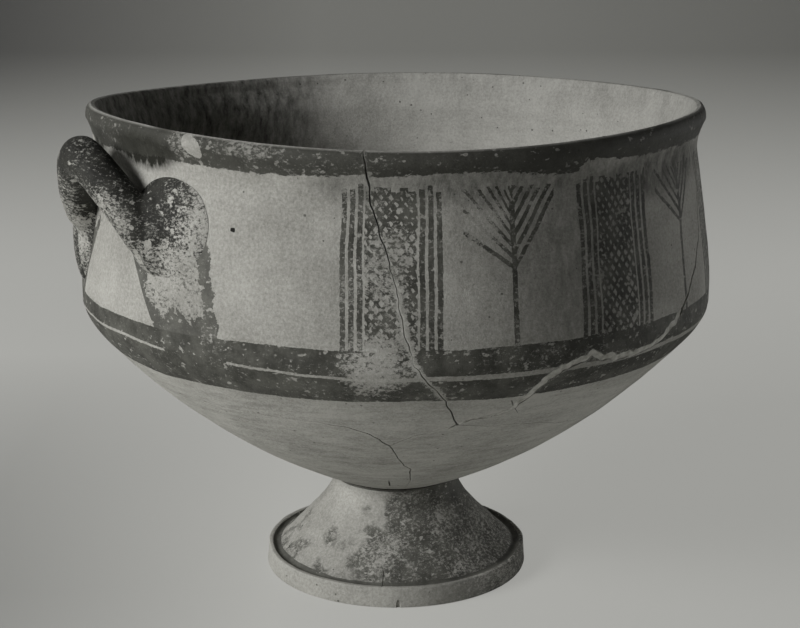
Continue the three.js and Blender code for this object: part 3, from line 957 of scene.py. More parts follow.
@dataclass(frozen=True)
class WornSlip(Finish):
    """Earthenware slipped dark all over and rubbed by hands and shelves: slip is left in crumbs and clouds."""

    wear: float = 0.46
    cover: float = 0.98
    soft: float = 0.06

    def build(self) -> Material:
        """Builds the material."""
        material, book, place = self.start()
        self.locate(book, place)
        left = self.left_over(book, place, self.wear_at(book, place), 1.7, self.soft)
        shown = book.formula("covered * left", covered=self.covered(book, place), left=left)
        clay = self.clay_colour(book, place, 0.5)
        share, slip = book.formula("shown * cover", shown=shown), self.slip_colour(book, place)
        colour = book.add("ShaderNodeMix", tones(share, clay, slip), 2, data_type="RGBA")
        grit = book.add("ShaderNodeTexNoise", spots(place, self.grain, 3, 0.7))
        lumps = book.add("ShaderNodeTexNoise", spots(place, 6, 4, 0.6))
        height = book.formula(
            "grit * 0.16 + lumps * 0.5 - pits * 0.3 + shown * 0.06", grit=grit, lumps=lumps,
            pits=self.pits(book, place), shown=shown,
        )
        roughness = book.formula("roughness - shown * 0.14", shown=shown)
        self.end(book, colour, roughness, height)
        return material

    def covered(self, book: NodeBook, place: Socket) -> Feed:
        """Where slip was put on."""
        return 1.0

    def wear_at(self, book: NodeBook, place: Socket) -> Feed:
        """How much of the slip is gone."""
        return self.wear


@dataclass(frozen=True)
class HandleSlip(WornSlip):
    """Slip on the handles: solid on the coil and the upper pads, rubbed through on the coil's outer side, which
    on the left handle faces the lamp, so that its lighter side is partly wear and partly painted light.

    The loop's own plane leans out from its root, given as a radius and a height, by the slope.
    """

    root: tuple[float, float] = (152.0, 194.4)
    slope: tuple[float, float] = (0.928, 0.371)

    def covered(self, book: NodeBook, place: Socket) -> Feed:
        """The coil, the upper pads and the strip below them."""
        return book.formula(
            "max(solid, strip)", solid=self.solid(book, place), strip=self.strip_paint(book, place)[0]
        )

    def solid(self, book: NodeBook, place: Socket) -> Socket:
        """1 above a ragged line across the roots."""
        sway = book.add("ShaderNodeTexNoise", spots(place, 11, 5, 0.72))
        return book.formula("z + (sway - 0.5) * 44 > 192.5", sway=sway)

    def wear_at(self, book: NodeBook, place: Socket) -> Feed:
        """More wear on the coil's outer side, partly painted light where it faces the lamp, and on the pads'
        far ends, and little slip inside the strip.
        """
        strip, thick = self.strip_paint(book, place)
        outside = book.formula(
            "(abs(x) - root_r) * slope_r - (z - root_z) * slope_z", root_r=self.root[0], root_z=self.root[1],
            slope_r=self.slope[0], slope_z=self.slope[1],
        )
        # Painted light: the coil's outer side, towards the lamp on the left handle, loses more slip and shows
        # lighter.
        rubbed = book.add("ShaderNodeMapRange", (outside, 1.0, 7.5, 0.0, 0.13))
        below = book.add("ShaderNodeMapRange", (book.known["z"], 226.0, 210.0, 0.0, 1.0))
        end = book.add("ShaderNodeMapRange", (book.formula("abs(y)"), 42.0, 60.0, 0.0, 0.17))
        return book.formula(
            "wear + max(rubbed * below * (abs(y) < 38), end) + (strip - thick) * (1 - solid) * 0.1",
            rubbed=rubbed, below=below, end=end, strip=strip, thick=thick, solid=self.solid(book, place),
        )


@dataclass(frozen=True)
class FootSlip(WornSlip):
    """Slip on the foot, thin and mostly rubbed away: clouds on the flare, and dark where the groove kept it. It
    is lighter on the side the lamp faces and darker away from it, partly wear and partly painted light and
    shade.
    """

    groove: tuple[float, float] = (60.9, 65.2)
    flare_foot: float = 9.2
    top: float = 47.6
    lit_and_rubbed_side: float = -100

    def covered(self, book: NodeBook, place: Socket) -> Feed:
        """The flare, the groove and the luting line, and thinly the edge on the side away from the lamp, as
        painted shade.
        """
        cloud = book.add("ShaderNodeTexNoise", spots(place, 15, 5, 0.62))
        towards = self.towards(book)
        # Fewer clouds of slip towards the lamp: partly wear, partly painted light.
        rubbed = book.formula("0.2 + (0.34 + max(0, z - 26) * 0.018) * towards", towards=towards)
        low, high = (book.formula("rubbed + step", rubbed=rubbed, step=step) for step in (-0.06, 0.1))
        clouds = book.add("ShaderNodeMapRange", (cloud, low, high, 0.0, 1.0), interpolation_type="SMOOTHSTEP")
        # Painted shade: thin slip on the edge away from the lamp.
        edge = book.formula(
            "min(1, max(0, 0.2 - towards) * 1.4) * (spread > outer)", towards=towards, outer=self.groove[1]
        )
        return book.formula(
            "max(max(groove, edge), max(z > top, (z > flare_foot) * (spread < inner) * clouds))",
            groove=self.in_groove(book), edge=edge, inner=self.groove[0], clouds=clouds,
        )

    def wear_at(self, book: NodeBook, place: Socket) -> Feed:
        """Less wear in the groove, and under the bowl on the side away from the lamp, where the darker slip is
        painted shade.
        """
        # Painted shade: more slip kept high on the stem, under the bowl, away from the lamp.
        kept = book.formula("max(0, z - 36) * max(0, 0.2 - towards) * 0.02", towards=self.towards(book))
        groove = self.in_groove(book)
        return book.formula("wear - max(groove, z > top) * 0.22 - kept", groove=groove, kept=kept)

    def towards(self, book: NodeBook) -> Socket:
        """How far a place looks towards the lamp's side, which is also the side that hands rubbed: 1 is
        straight at it, -1 away from it.
        """
        return book.formula("cos(atan2(x, -y) - side)", side=math.radians(self.lit_and_rubbed_side))

    def in_groove(self, book: NodeBook) -> Socket:
        """1 in the groove round the foot's edge."""
        low, high = self.groove
        return book.formula("(spread > low) * (spread < high) * (z > 8.6)", low=low, high=high)


@dataclass(frozen=True)
class RoughClay(Finish):
    """Bare rough surface, for clay where it broke and for repair plaster: dusty, lumpy and quite matt."""

    lumps: float = 0.8

    def build(self) -> Material:
        """Builds the material."""
        material, book, place = self.start()
        grit = book.add("ShaderNodeTexNoise", spots(place, self.grain, 5, 0.75))
        lumps = book.add("ShaderNodeTexNoise", spots(place, 4, 4, 0.6))
        share = book.add("ShaderNodeMapRange", (lumps, 0.3, 0.65, 0.0, 1.0), interpolation_type="SMOOTHSTEP")
        colour = book.add("ShaderNodeMix", tones(share, self.clay_dark, self.clay), 2, data_type="RGBA")
        height = book.formula("grit * 0.3 + lump * lumps", grit=grit, lump=lumps)
        self.end(book, colour, self.roughness, height)
        return material


@dataclass
class MendedBowl:
    """The thrown bowl in its sherds, with the plaster that fills one open break."""

    wall: WallShape
    wheel: Wheel
    slip: Material
    bare: Material
    plaster: Material
    columns: int = 600
    row_height: float = 1.75

    PANEL = Break((
        (-37.7, 4.6, 0.9, 0.3), (-37.1, 3.5, 0.9, 0.3), (-36.3, 2.94, 0.7, 0.2), (-34.2, 2.7, 0.5, 0.2),
        (-32.9, 2.5, 0.3, 0.5), (-32.1, 2.4, 0.1, 0.9), (-31.1, 2.18, 0.08, 1), (-29.6, 2, 0.08, 0.9),
        (-27.1, 1.5, 0.08, 1), (-24.6, 1.1, 0.1, 0.9), (-23.7, 0.97, 0.5, 0.2), (-20.4, 0.8, 0.7, 0.2),
    ), worn_edge=0.3, seed=11)
    LINK = Break((
        (-20.4, 0.8, 0.1, 1), (-28.3, 0.72, 0.08, 1.2), (-33.8, 0.63, 0.1, 1),
    ), worn_edge=0.25, seed=21)
    FOOT = Break((
        (-33.8, 0.63, 0.55, 0.3), (-31.7, 0.5, 0.3, 0.3), (-30, 0.43, 0.08, 1), (-28.5, 0.38, 0.08, 1),
        (-27.5, 0.3, 0.12, 0.8), (-26.4, 0.21, 0.15, 0.5),
    ), worn_edge=0.3, seed=31)
    SIDE = Break((
        (24.4, 2.09, 0.8, 0.8), (30.5, 2.27, 0.8, 0.7), (35.6, 2.48, 0.7, 0.5), (38, 2.78, 0.35, 0.3),
        (36.5, 3.2, 0.25, 0.3), (38.5, 4.6, 0.4, 0.3),
    ), seed=41)
    CONE = Break((
        (-20.4, 0.8, 0.3, 0.3), (-11.6, 0.76, 0.08, 0.5), (-4.8, 0.75, 0.08, 0.5), (4.8, 0.69, 0.1, 0.5),
        (14.2, 0.64, 0.1, 0.5), (40, 0.6, 0.1, 0.5), (70, 0.57, 0.1, 0.5), (97, 0.62, 0.1, 0.5),
        (125, 0.58, 0.1, 0.5), (150, 0.64, 0.1, 0.5),
    ), worn_edge=0.2, seed=51)
    BACK = Break((
        (-33.8, 0.63, 0.7, 0.3), (-38.4, 0.74, 0.55, 0.3), (-42.6, 0.79, 0.35, 0.3), (-46.8, 0.81, 0.15, 0.3),
        (-52, 0.82, 0.07, 0.1), (-75, 0.84, 0.07, 0.1), (-110, 0.77, 0.1, 0.2), (-150, 0.72, 0.15, 0.5),
        (-180, 0.75, 0.15, 0.5), (-210, 0.64, 0.2, 0.5),
    ), worn_edge=0.25, seed=61)
    HIDDEN_FOOT = Break((
        (150, 0.64, 0.3, 0.5), (154, 0.46, 0.3, 0.5), (150, 0.34, 0.3, 0.5), (152, 0.21, 0.3, 0.5),
    ), seed=71)
    FILL = Break((
        (-20.4, 0.8, 1.6, 1), (-14.7, 0.86, 2, 1), (-11.1, 0.9, 2.4, 1.2), (-8.8, 0.99, 3.4, 1.4),
        (-6.9, 1.49, 4.2, 1.4), (-3.9, 1.7, 3.6, 1.4), (0.5, 1.84, 3.2, 1.4), (7.4, 1.7, 3.8, 1.2),
        (13.2, 1.66, 3, 1.2), (19.5, 2, 3.4, 1.2), (24.4, 2.09, 2.4, 1),
    ), worn_edge=0.2, wander=1.1, seed=81)
    NICKS = (
        Break(((-35.3, 0.21, 0.2, 0), (-35.6, 0.16, 0.8, 0), (-35.8, 0.1, 0.6, 0)), wander=0.1, seed=95),
        Break(((-11.9, 0.97, 0.4, 0), (-11, 0.93, 0.5, 0), (-8.9, 0.86, 0.15, 0)), wander=0.2, seed=96),
        Break(((-20.5, 0.81, 0.6, 0), (-21, 0.79, 1.1, 0), (-21.9, 0.77, 0.15, 0)), wander=0.1, seed=97),
    )
    # What hands or shelves rubbed, and what darkens the wall: thin slip smears and painted shade, namely the
    # left handle's cast shadow below the rim, shade under the rim's overhang mixed with a thin slip wash, and
    # darker wall right of the front: azimuth, height, half sizes and amount.
    RUBBED = (
        (-36, 149, 22, 18, 0.62), (-34, 190, 16, 22, 0.25), (-71, 238, 12, 6, 0.2), (-56, 238, 26, 6, 0.2),
        (-18.5, 208, 13, 15, 0.35), (140, 148, 26, 12, 0.35), (-150, 235, 30, 8, 0.3),
    )
    # Painted shade: the first two are the left handle's cast shadow, the next four a thin slip wash under the
    # rim darkened further as painted shade of its overhang, the last darker wall right of the front.
    SMEARED_AND_SHADED = (
        (-80, 232, 30, 11, 2.4), (-100, 231, 18, 10, 1.8), (-16, 223, 62, 13, 0.85), (22, 222, 75, 16, 1.0),
        (-38, 223, 30, 10, 0.5), (60, 224, 45, 15, 0.7), (-2, 196, 44, 74, 0.6),
    )
    # Painted shade on the inside's left wall, which the rim keeps from the lamp: middle azimuth and half width.
    SHADED_INSIDE = (-152, 55)
    RUBBED_RADIUS = 153
    SMEARED_AND_SHADED_RADIUS = 150
    RIM_EDGE = (
        (-180, 229), (-110, 231), (-96, 229), (-84, 229), (-76, 230.6), (-70, 229), (-60.5, 227.4), (-50, 227),
        (-38, 228), (-17, 228.6), (-9.6, 227.5), (-2, 226), (-0.6, 229), (0.6, 231.6), (13, 229.8), (30, 230.5),
        (60, 231), (90, 231), (130, 229), (180, 229),
    )
    SHERDS = {
        "main_sherd": (180, 2.5), "front_sherd": (0, 2.5),
        "left_cone_sherd": (-60, 0.4), "right_cone_sherd": (30, 0.4),
    }

    def build(self) -> list[Piece]:
        """Throws the bowl, breaks it, fills the open break and dresses every part."""
        closed = [self.PANEL, self.LINK, self.FOOT, self.SIDE, self.CONE, self.BACK, self.HIDDEN_FOOT]
        traces = [(line, line.trace(self.wall)) for line in closed]
        fill_trace = self.FILL.trace(self.wall)
        whole = self.thrown("bowl")
        fill = self.filling(self.thrown("repair_fill"), fill_trace, traces)
        knives = [trace.knife("knife", line.worn_edge) for line, trace in traces]
        knives += [self.floor_knife(line) for line in (self.FOOT, self.HIDDEN_FOOT)]
        knives.append(fill_trace.knife("knife", self.FILL.worn_edge))
        knives += [nick.trace(self.wall).knife("knife", nick.worn_edge, inwards=3) for nick in self.NICKS]
        for knife in knives:
            whole = carved(whole, knife, self.slip, self.bare)
        sherds = self.named(loose_parts(whole))
        tree = self.break_tree([trace for _, trace in traces] + [fill_trace])
        for sherd in sherds:
            self.write_marks(sherd, *tree)
            smooth(sherd)
        smooth(fill)
        return [*sherds, fill]

    def thrown(self, name: str) -> Piece:
        """The whole bowl, a little uneven as a thrown bowl is."""
        section = self.wall.section(1.0)
        length = np.linalg.norm(np.diff(section, axis=0), axis=1).sum()
        bowl = self.wheel.throw(name, section, self.columns, round(length / self.row_height), self.slip)
        bowl.data.materials.append(self.bare)
        points = self.wall.waved(mesh_points(bowl))
        spread = np.hypot(points[:, 0], points[:, 1])
        dents = unevenness(points, 46, 5) * 0.16 + unevenness(points, 13, 6) * 0.05
        dents *= smoothstep(spread, 40, 60)
        flat = points.copy()
        flat[:, 2] = 0
        out = flat / np.maximum(spread, 1)[:, None]
        limit = self.wall.belly[0] - 0.3
        points += out * np.minimum(dents, limit - spread)[:, None]
        move_points(bowl, points)
        return bowl

    def floor_knife(self, line: Break) -> Piece:
        """An upright sheet from the axis to the lower end of a foot break."""
        azimuth, level, gap, _ = line.places[-1]
        height = float(self.wall.level(np.array(level)))
        foot = np.array([float(self.wall.radius(height)), height])
        out = np.array([1.0, -float(self.wall.slope(height))])
        out /= np.linalg.norm(out)
        outer, inner = foot + out * 4, foot - out * (self.wall.floor[1] + 4)
        edge = [(-0.35, -4), (outer[0], -4), outer, inner, (-0.35, max(inner[1], self.wall.floor[1] + 4))]
        across = around(1.0, azimuth + 90, 0.0)
        points = []
        for way in (-gap / 2, gap / 2):
            points += [around(r, azimuth, z + self.wall.seat) + across * way for r, z in edge]
        count = len(edge)
        faces = [tuple(range(count)), tuple(range(2 * count - 1, count - 1, -1))]
        faces += [(k, k + count, (k + 1) % count + count, (k + 1) % count) for k in range(count)]
        sheet = new_object("floor_knife", np.array(points), faces)
        turn_outwards(sheet)
        return sheet

    def filling(self, band: Piece, trace: Trace, closed: Sequence[tuple[Break, Trace]]) -> Piece:
        """The plaster: what of the bowl lies in the open break, pressed in unevenly."""
        tight = Trace(trace.point, trace.out, trace.side, trace.gap - 0.25, trace.bare)
        band = cut(band, tight.knife("knife", 0.0), Cut.KEEP)
        for _, other in closed:
            wider = Trace(other.point, other.out, other.side, other.gap + 0.6, other.bare)
            band = cut(band, wider.knife("knife", 0.0), Cut.AWAY)
        fill = largest_part(band, "repair_fill", self.plaster)
        points = mesh_points(fill)
        away = points / np.linalg.norm(points * (1, 1, 0), axis=1, keepdims=True) * (1, 1, 0)
        lumpy = unevenness(points, 9, 90) * 0.16 + unevenness(points, 3.5, 91) * 0.08 - 0.25
        move_points(fill, points + away * lumpy[:, None])
        return fill

    def named(self, parts: Sequence[Piece]) -> list[Piece]:
        """Finds each sherd by a place on it, names it and drops the crumbs."""
        kept = []
        for name, (azimuth, level) in self.SHERDS.items():
            height = float(self.wall.level(np.array(level)))
            spot = around(self.wall.radius(height), azimuth, height + self.wall.seat)
            sherd = min(parts, key=lambda part: np.linalg.norm(mesh_points(part) - spot, axis=1).min())
            kept.append(sherd)
            log.info("%s has %d faces", name, len(sherd.data.polygons))
        for part in parts:
            if part not in kept:
                bpy.data.objects.remove(part)
        for sherd, name in zip(kept, self.SHERDS):
            sherd.name = name
            sherd.data.name = name
        return kept

    def break_tree(self, traces: Sequence[Trace]) -> tuple[KDTree, Array]:
        """A search tree of every place along the breaks, and how far the slip has flaked off there."""
        points = np.vstack([trace.point for trace in traces])
        bare = np.concatenate([trace.bare for trace in traces])
        tree = KDTree(len(points))
        for k, point in enumerate(points):
            tree.insert(point, k)
        tree.balance()
        return tree, bare

    @staticmethod
    def patch(turn: Array, height: Array, place: Sequence[float], radius: float, core: float) -> Array:
        """What one rubbed or smeared place does at each vertex: its amount in its core, nothing at its edge."""
        azimuth, middle, wide, tall, amount = place
        off = np.hypot(np.radians(turn - azimuth) * radius / wide, (height - middle) / tall)
        return amount * (1 - smoothstep(off, core, 1.0))

    def write_marks(self, sherd: Piece, tree: KDTree, bare: Array) -> None:
        """Writes on a sherd's vertices what its finish reads.

        Args:
            sherd: the sherd.
            tree: every place along the breaks.
            bare: how far the slip has flaked off at each of them.
        """
        points = mesh_points(sherd)
        turn = np.degrees(np.arctan2(points[:, 0], -points[:, 1]))
        level = points[:, 2] - self.wall.seat
        depth = self.wall.radius(level) - np.hypot(points[:, 0], points[:, 1])
        inside = smoothstep(depth, 2.2, 2.8) * (level > 14)
        flaked = np.empty(len(points))
        for k, point in enumerate(points):
            _, index, distance = tree.find(point)
            flaked[k] = min(1.0, bare[index] / 0.8) * max(0.0, 1 - distance / (bare[index] + 1.2))
        for place in self.RUBBED:
            flaked = np.maximum(flaked, self.patch(turn, points[:, 2], place, self.RUBBED_RADIUS, 0.3))
        # Painted shade: the inside's left wall is darkened where the rim shades it, the inside is darker near
        # the rim, and outside the smears and painted shade listed above are added.
        off = np.abs((turn - self.SHADED_INSIDE[0] + 180) % 360 - 180) / self.SHADED_INSIDE[1]
        shade_and_smear = inside * (1 - smoothstep(off, 0.55, 1)) * smoothstep(points[:, 2], 120, 190)
        shade_and_smear = np.maximum(shade_and_smear, inside * 0.32 * smoothstep(points[:, 2], 212, 238))
        for place in self.SMEARED_AND_SHADED:
            smear_and_shade = self.patch(turn, points[:, 2], place, self.SMEARED_AND_SHADED_RADIUS, 0.35)
            shade_and_smear = np.maximum(shade_and_smear, (1 - inside) * smear_and_shade)
        edge = np.interp(turn, *np.array(self.RIM_EDGE).T)
        for name, values in (("bare", flaked), ("inside", inside), ("shade_and_smear", shade_and_smear), ("rim_edge", edge)):
            sherd.data.attributes.new(name, "FLOAT", "POINT").data.foreach_set("value", values)


@dataclass
class Pedestal:
    """The spreading foot, thrown separately and luted on."""

    wheel: Wheel
    slip: Material
    bare: Material
    radius: float
    height: float
    edge_height: float = 10.5
    edge_round: float = 1
    edge_lean: float = 0.6
    lip_width: float = 3
    groove_width: float = 4.4
    groove_depth: float = 1.3
    stem: float = 32.4
    stem_length: float = 3
    stem_bend: float = 9
    rest_ring: float = 13
    hollow_height: float = 31
    hollow_top: float = 13
    crack_azimuth: float = -38.6
    crack_start: float = 56
    chip_azimuth: float = -31.4
    chip_size: tuple[float, float, float] = (1.3, 1.6, 3.6)
    columns: int = 300
    rows: int = 240

    def outline(self) -> Array:
        """Up the hollow's side, over the edge and groove, up the flare to the stem's top."""
        lip_inside = self.radius - self.lip_width
        edge_top = self.radius - self.edge_lean
        flare_foot = lip_inside - self.groove_width
        stem_foot = self.height - self.stem_length
        middle = lip_inside - self.groove_width / 2
        groove_floor = self.edge_height - self.groove_depth
        stretches = [
            Stretch((self.hollow_top, self.hollow_height)),
            Stretch((self.radius - self.rest_ring, 0)),
            Stretch((self.radius - self.edge_round, 0)),
            Stretch((self.radius, self.edge_round), (self.radius, 0)),
            Stretch((edge_top, self.edge_height - self.edge_round)),
            Stretch((edge_top - self.edge_round, self.edge_height), (edge_top, self.edge_height)),
            Stretch((lip_inside, self.edge_height)),
            Stretch((middle, groove_floor), (lip_inside - 0.8, groove_floor)),
            Stretch((flare_foot, self.edge_height), (flare_foot + 0.6, groove_floor)),
            Stretch((self.stem, stem_foot), (self.stem, stem_foot - self.stem_bend)),
            Stretch((self.stem, self.height)),
            Stretch((0, self.height)),
        ]
        return drawn((0, self.hollow_height), stretches, 0.6)

    def build(self) -> Piece:
        """Throws the foot and makes it uneven."""
        foot = self.wheel.throw("thrown_foot", self.outline(), self.columns, self.rows, self.slip)
        points = mesh_points(foot)
        spread = np.hypot(points[:, 0], points[:, 1])
        dents = unevenness(points, 30, 105) * 0.22 + unevenness(points, 8, 106) * 0.07
        dents = dents * smoothstep(points[:, 2], 0.2, 4) - 0.25 * smoothstep(spread, 60, 66)
        dents *= 1 - smoothstep(points[:, 2], self.height - 2, self.height)
        out = points * (1, 1, 0) / np.maximum(spread, 1)[:, None]
        move_points(foot, points + out * dents[:, None])
        foot.data.materials.append(self.bare)
        foot = carved(foot, self.crack().knife("knife", 0.2, inwards=3), self.slip, self.bare)
        foot = carved(foot, self.chip(), self.slip, self.bare)
        smooth(foot)
        log.info("%s has %d faces", foot.name, len(foot.data.polygons))
        return foot

    def crack(self) -> Trace:
        """The short crack that runs in from the edge across the groove."""
        line = self.outline()
        on_top = (line[:, 1] > self.edge_height - 2) & (line[:, 0] > self.crack_start)
        top = line[on_top & (line[:, 0] < self.radius - self.edge_lean - self.edge_round)]
        count = len(top)
        across = around(1.0, self.crack_azimuth + 90, 0.0)
        return Trace(
            around(top[:, 0], self.crack_azimuth, top[:, 1]), np.tile((0.0, 0.0, 1.0), (count, 1)),
            np.tile(across, (count, 1)), np.linspace(0.5, 0.3, count), np.full(count, 0.3),
        )

    def chip(self) -> Piece:
        """The egg-shaped tool that knocks a chip out of the edge's lower corner."""
        egg, points = self.wheel.egg("chip", self.chip_size, 24, 24, self.slip)
        turn = Matrix.Rotation(math.radians(self.chip_azimuth), 3, "Z")
        move_points(egg, (points + (0, -self.radius, 1)) @ np.array(turn).T)
        return egg


@dataclass
class LoopHandle:
    """A loop of rolled coil that leans out from the wall, with its two smeared root pads."""

    wall: WallShape
    wheel: Wheel
    coil: bpy.types.NodeTree
    clay: Material
    side: Side
    coil_radius: float = 9.3
    finger_gap: float = 4.9
    crown_drop: float = 13.5
    root_drop: float = 45.3
    leg_spread: float = 33.6
    arch_rise: float = 1.56
    arch_spread: float = 1.5
    leg_in_wall: float = 20
    leg_way: tuple[float, float] = (-0.84, -0.54)
    tail_share: float = 0.12
    pad_thickness: float = 16
    voxel: float = 1.0

    # The near pad, clay that fills the corner between it and the coil, and the far pad.
    PADS = ((16.8, 42.4, 30.0, 31.0, 4.8), (13.4, 45.0, 16.0, 21.0, 9.5), (-18.0, 50.0, 26.0, 38.0, 7.2))

    def path(self, count: int = 90) -> Array:
        """The coil's centreline, from inside the wall over the crown and back."""
        share = np.linspace(0, 1, count)
        kept = 1 - 2 * self.tail_share
        run = np.abs(share * 2 - 1) / kept
        turn = np.minimum(run, 1) * math.pi / 2
        past = np.maximum(0, run - 1) * kept / (1 - kept)
        rise = np.cos(turn) ** self.arch_rise
        across = np.sign(share - 0.5) * self.leg_spread * np.sin(turn) ** self.arch_spread
        root_height = self.wall.rim - self.root_drop
        root = np.array([float(self.wall.radius(root_height)), root_height])
        crown_reach = self.wall.lip[0] + self.finger_gap + self.coil_radius
        crown = np.array([crown_reach, self.wall.rim - self.crown_drop])
        place = root + np.outer(rise, crown - root) + np.outer(past * self.leg_in_wall, self.leg_way)
        line = around(place[:, 0], self.side.value, place[:, 1] + self.wall.seat)
        return line + around(across, self.side.value + 90, 0.0)

    def pad(self, off: float, drop: float, half_width: float, half_height: float, proud: float) -> Piece:
        """One root pad: an egg of clay sunk in the wall, proud in its middle and running out to nothing.

        Args:
            off: its azimuth from the handle's own.
            drop: how far below the rim its middle is.
            half_width: the whole egg's, level.
            half_height: the whole egg's, upright.
            proud: how far its middle stands out of the wall.

        Returns:
            The egg.
        """
        height = self.wall.rim - drop
        egg, points = self.wheel.egg("pad", (half_width, self.pad_thickness, half_height), 64, 40, self.clay)
        lean = Matrix.Rotation(math.atan(float(self.wall.slope(height))), 3, "X")
        turn = Matrix.Rotation(math.radians(self.side.value + off), 3, "Z")
        reach = float(self.wall.radius(height)) - self.pad_thickness + proud
        points = points @ np.array(lean).T + (0, -reach, height + self.wall.seat)
        move_points(egg, points @ np.array(turn).T)
        return egg

    def build(self, name: str) -> Piece:
        """Rolls the coil, joins the pads, smooths them together and trims them to the wall."""
        path = self.path()
        line = new_object("coil", path, [], [(k, k + 1) for k in range(len(path) - 1)])
        inputs = {"Radius": self.coil_radius * MM, "Swell": 0.02, "Sides": 40, "Clay": self.clay}
        node_modifier(line, self.coil, inputs)
        parts = [baked(line, "coil")]
        turn_outwards(parts[0])
        parts += [self.pad(*sizes) for sizes in self.PADS]
        select(parts)
        bpy.ops.object.join()
        joined = bpy.context.view_layer.objects.active
        remesh = joined.modifiers.new("knead", "REMESH")
        remesh.mode, remesh.voxel_size = "VOXEL", self.voxel * MM
        rub = joined.modifiers.new("rub", "SMOOTH")
        rub.factor, rub.iterations = 0.5, 26
        kneaded = baked(joined, name)
        points = mesh_points(kneaded)
        centre = points.mean(axis=0)
        away = points - centre
        away /= np.linalg.norm(away, axis=1, keepdims=True)
        lumps = unevenness(points, 24, 200 + int(self.side.value)) * 0.22 - 0.25
        move_points(kneaded, points + away * lumps[:, None])
        tool = self.wheel.throw("tool", self.wall.envelope(0.12, 2.0), 360, 260, self.clay)
        move_points(tool, self.wall.waved(mesh_points(tool)))
        handle = largest_part(cut(kneaded, tool, Cut.AWAY), name, self.clay)
        smooth(handle)
        log.info("%s has %d faces", name, len(handle.data.polygons))
        return handle


@dataclass(frozen=True)
class Studio:
    """The plain pale floor, the soft lamps and the camera."""

    camera_azimuth: float = -32.5
    camera_distance: float = 806
    camera_height: float = 334.7
    camera_pitch: float = 14.09
    camera_sideways: float = 2.1
    lens: float = 72.84

    def build(self) -> None:
        """Sets the stage."""
        self.floor()
        self.lamps()
        self.camera()
        bpy.context.scene.view_settings.view_transform = "Standard"

    def way(self, azimuth: float) -> Array:
        """The level direction of an azimuth, given from the camera's own."""
        return around(1.0, azimuth + self.camera_azimuth, 0.0)

    def floor(self) -> None:
        """A pale floor that curves up into a backdrop behind the bowl."""
        width, front, back, rise, bend = 6000, 2500, 1500, 3500, 900
        line = [(-front, 0.0), (back - bend, 0.0)]
        line += [
            (back - bend + bend * math.sin(t), bend * (1 - math.cos(t)))
            for t in np.linspace(0, math.pi / 2, 24)[1:]
        ]
        line.append((back, float(rise)))
        away, across = -self.way(0), self.way(90)
        points = [
            away * run + across * side + (0, 0, height)
            for run, height in line for side in (-width / 2, width / 2)
        ]
        faces = [(2 * k, 2 * k + 1, 2 * k + 3, 2 * k + 2) for k in range(len(line) - 1)]
        sheet = new_object("floor", np.array(points), faces)
        sheet.data.shade_smooth()
        sheet.data.materials.append(self.paper())

    def paper(self) -> Material:
        """Matt backdrop paper, darker in its corners. The camera sees it much as written; shadows are weak."""
        material, book = new_material("backdrop_paper")
        place = book.add("ShaderNodeTexCoord", out="Object")
        x, y, height = (book.add("ShaderNodeSeparateXYZ", (place,), axis) for axis in "XYZ")
        share = book.add("ShaderNodeMapRange", (height, 0.0, 0.17, 0.0, 1.0))
        tone = book.add("ShaderNodeMix", tones(share, "#acaca8", "#62625e"), 2, data_type="RGBA")
        across, away = (
            book.formula("x * way_x + y * way_y", x=x, y=y, way_x=way[0], way_y=way[1])
            for way in (self.way(90), -self.way(0))
        )
        near = book.add("ShaderNodeMapRange", (away, -0.05, 0.4, 1.0, 0.0))
        light = book.formula(
            "1 - share * share * (max(0, -across - 0.1) * 2.6 + max(0, across - 0.15) * 0.9)"
            " - near * min(max(0, -across - 0.06) * 3.4, 0.6)",
            share=share, across=across, near=near,
        )
        matt = book.add("ShaderNodeBsdfDiffuse", {"Color": linear("#dededa")})
        flat = book.add("ShaderNodeEmission", {"Color": tone, "Strength": light})
        seen = book.add("ShaderNodeLightPath", out="Is Camera Ray")
        mixed = book.add("ShaderNodeMixShader", (book.formula("seen * 0.78", seen=seen), matt, flat))
        book.add("ShaderNodeOutputMaterial", (mixed,))
        return material

    def lamps(self) -> None:
        """A soft lamp from the left, a pale board low on the right, and a little light from all round."""
        self.lamp("key_lamp", -58.5, 1520, 780, (820, 420), 25.5)
        self.lamp("bounce_board", 104, 1100, 90, (800, 500), 3.6)
        world = bpy.data.worlds.new("studio_air")
        bpy.context.scene.world = world
        world.use_nodes = True
        world.node_tree.nodes["Background"].inputs["Color"].default_value = linear("#c8c8c4")
        world.node_tree.nodes["Background"].inputs["Strength"].default_value = 0.042

    def lamp(
        self, name: str, azimuth: float, distance: float, height: float, size: tuple[float, float], power: float
    ) -> None:
        """One oblong area lamp that points at the bowl.

        Args:
            name: the lamp's name.
            azimuth: where it stands, from the camera's azimuth.
            distance: from the axis, level.
            height: above the floor.
            size: its width and height.
            power: in watts.
        """
        light = bpy.data.lights.new(name, "AREA")
        light.shape, light.size, light.size_y, light.energy = "RECTANGLE", size[0] * MM, size[1] * MM, power
        made = linked(name, light)
        spot = Vector((self.way(azimuth) * distance + (0, 0, height)) * MM)
        made.location = spot
        made.rotation_euler = (Vector((0, 0, 0.13)) - spot).to_track_quat("-Z", "Y").to_euler()

    def camera(self) -> None:
        """The camera at the picture's viewing angle."""
        data = bpy.data.cameras.new("camera")
        data.lens, data.sensor_width = self.lens, 36
        data.clip_start, data.clip_end = 0.01, 30
        made = linked("camera", data)
        spot = self.way(0) * self.camera_distance + self.way(90) * self.camera_sideways
        made.location = Vector((spot + (0, 0, self.camera_height)) * MM)
        made.rotation_euler = (math.radians(90 - self.camera_pitch), 0, math.radians(self.camera_azimuth))
        bpy.context.scene.camera = made


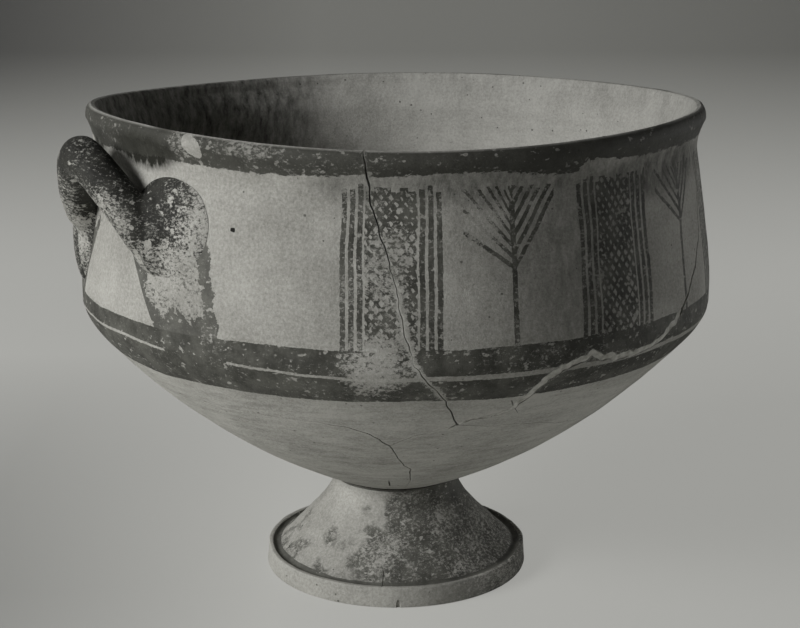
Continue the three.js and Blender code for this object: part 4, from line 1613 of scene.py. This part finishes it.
STANDS_FOR = {
    "main_sherd": ("main_bowl_sherd", "fired_clay"),
    "front_sherd": ("front_wall_sherd", "fired_clay"),
    "left_cone_sherd": ("lower_cone_left_sherd", "fired_clay"),
    "right_cone_sherd": ("lower_cone_right_sherd", "fired_clay"),
    "repair_fill": ("plaster_fill", "plaster"),
    "thrown_foot": ("pedestal_foot", "slipped_clay"),
    "left_loop": ("handle_left", "slipped_clay"),
    "right_loop": ("handle_right", "slipped_clay"),
}


def hand_over(piece: Piece) -> None:
    """Ties a finished piece to the frame's body and hides the frame's node that it stands for."""
    node, slot = STANDS_FOR[piece.name]
    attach(piece, "root")
    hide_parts(node)
    log.info("%s stands for %s, %d faces", piece.name, node, len(piece.data.polygons))


def main() -> None:
    """Builds the bowl's pieces in order, then the studio."""
    logging.basicConfig(level=logging.INFO, format="%(name)s: %(message)s")
    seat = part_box("lower_cone_left_sherd")[0].z / MM
    foot_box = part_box("pedestal_foot")
    wall = WallShape(seat=seat)
    wheel = Wheel(wheel_tree())
    coil = coil_tree()
    painted = PaintedWall("slip_painted_earthenware").build()
    foot_slip = FootSlip("rubbed_slip_on_foot_with_painted_light_and_shade", wear=0.42, cover=0.86, soft=0.07).build()
    handle_slip = HandleSlip(
        "rubbed_slip_on_handle_with_painted_light", wear=0.35, slip="#1b1b18", slip_thin="#30302c"
    ).build()
    broken = RoughClay(
        "broken_earthenware", clay="#a5a49e", clay_dark="#75746e", roughness=0.92, lumps=0.5
    ).build()
    plaster = RoughClay("repair_plaster", clay="#c6c5bf", clay_dark="#98978f", roughness=0.95).build()
    pieces = MendedBowl(wall, wheel, painted, broken, plaster).build()
    pieces.append(Pedestal(wheel, foot_slip, broken, foot_box[1].x / MM, foot_box[1].z / MM).build())
    for side, name in ((Side.LEFT, "left_loop"), (Side.RIGHT, "right_loop")):
        pieces.append(LoopHandle(wall, wheel, coil, handle_slip, side).build(name))
    for piece in pieces:
        hand_over(piece)
    Studio().build()


if __name__ == "__main__":
    main()
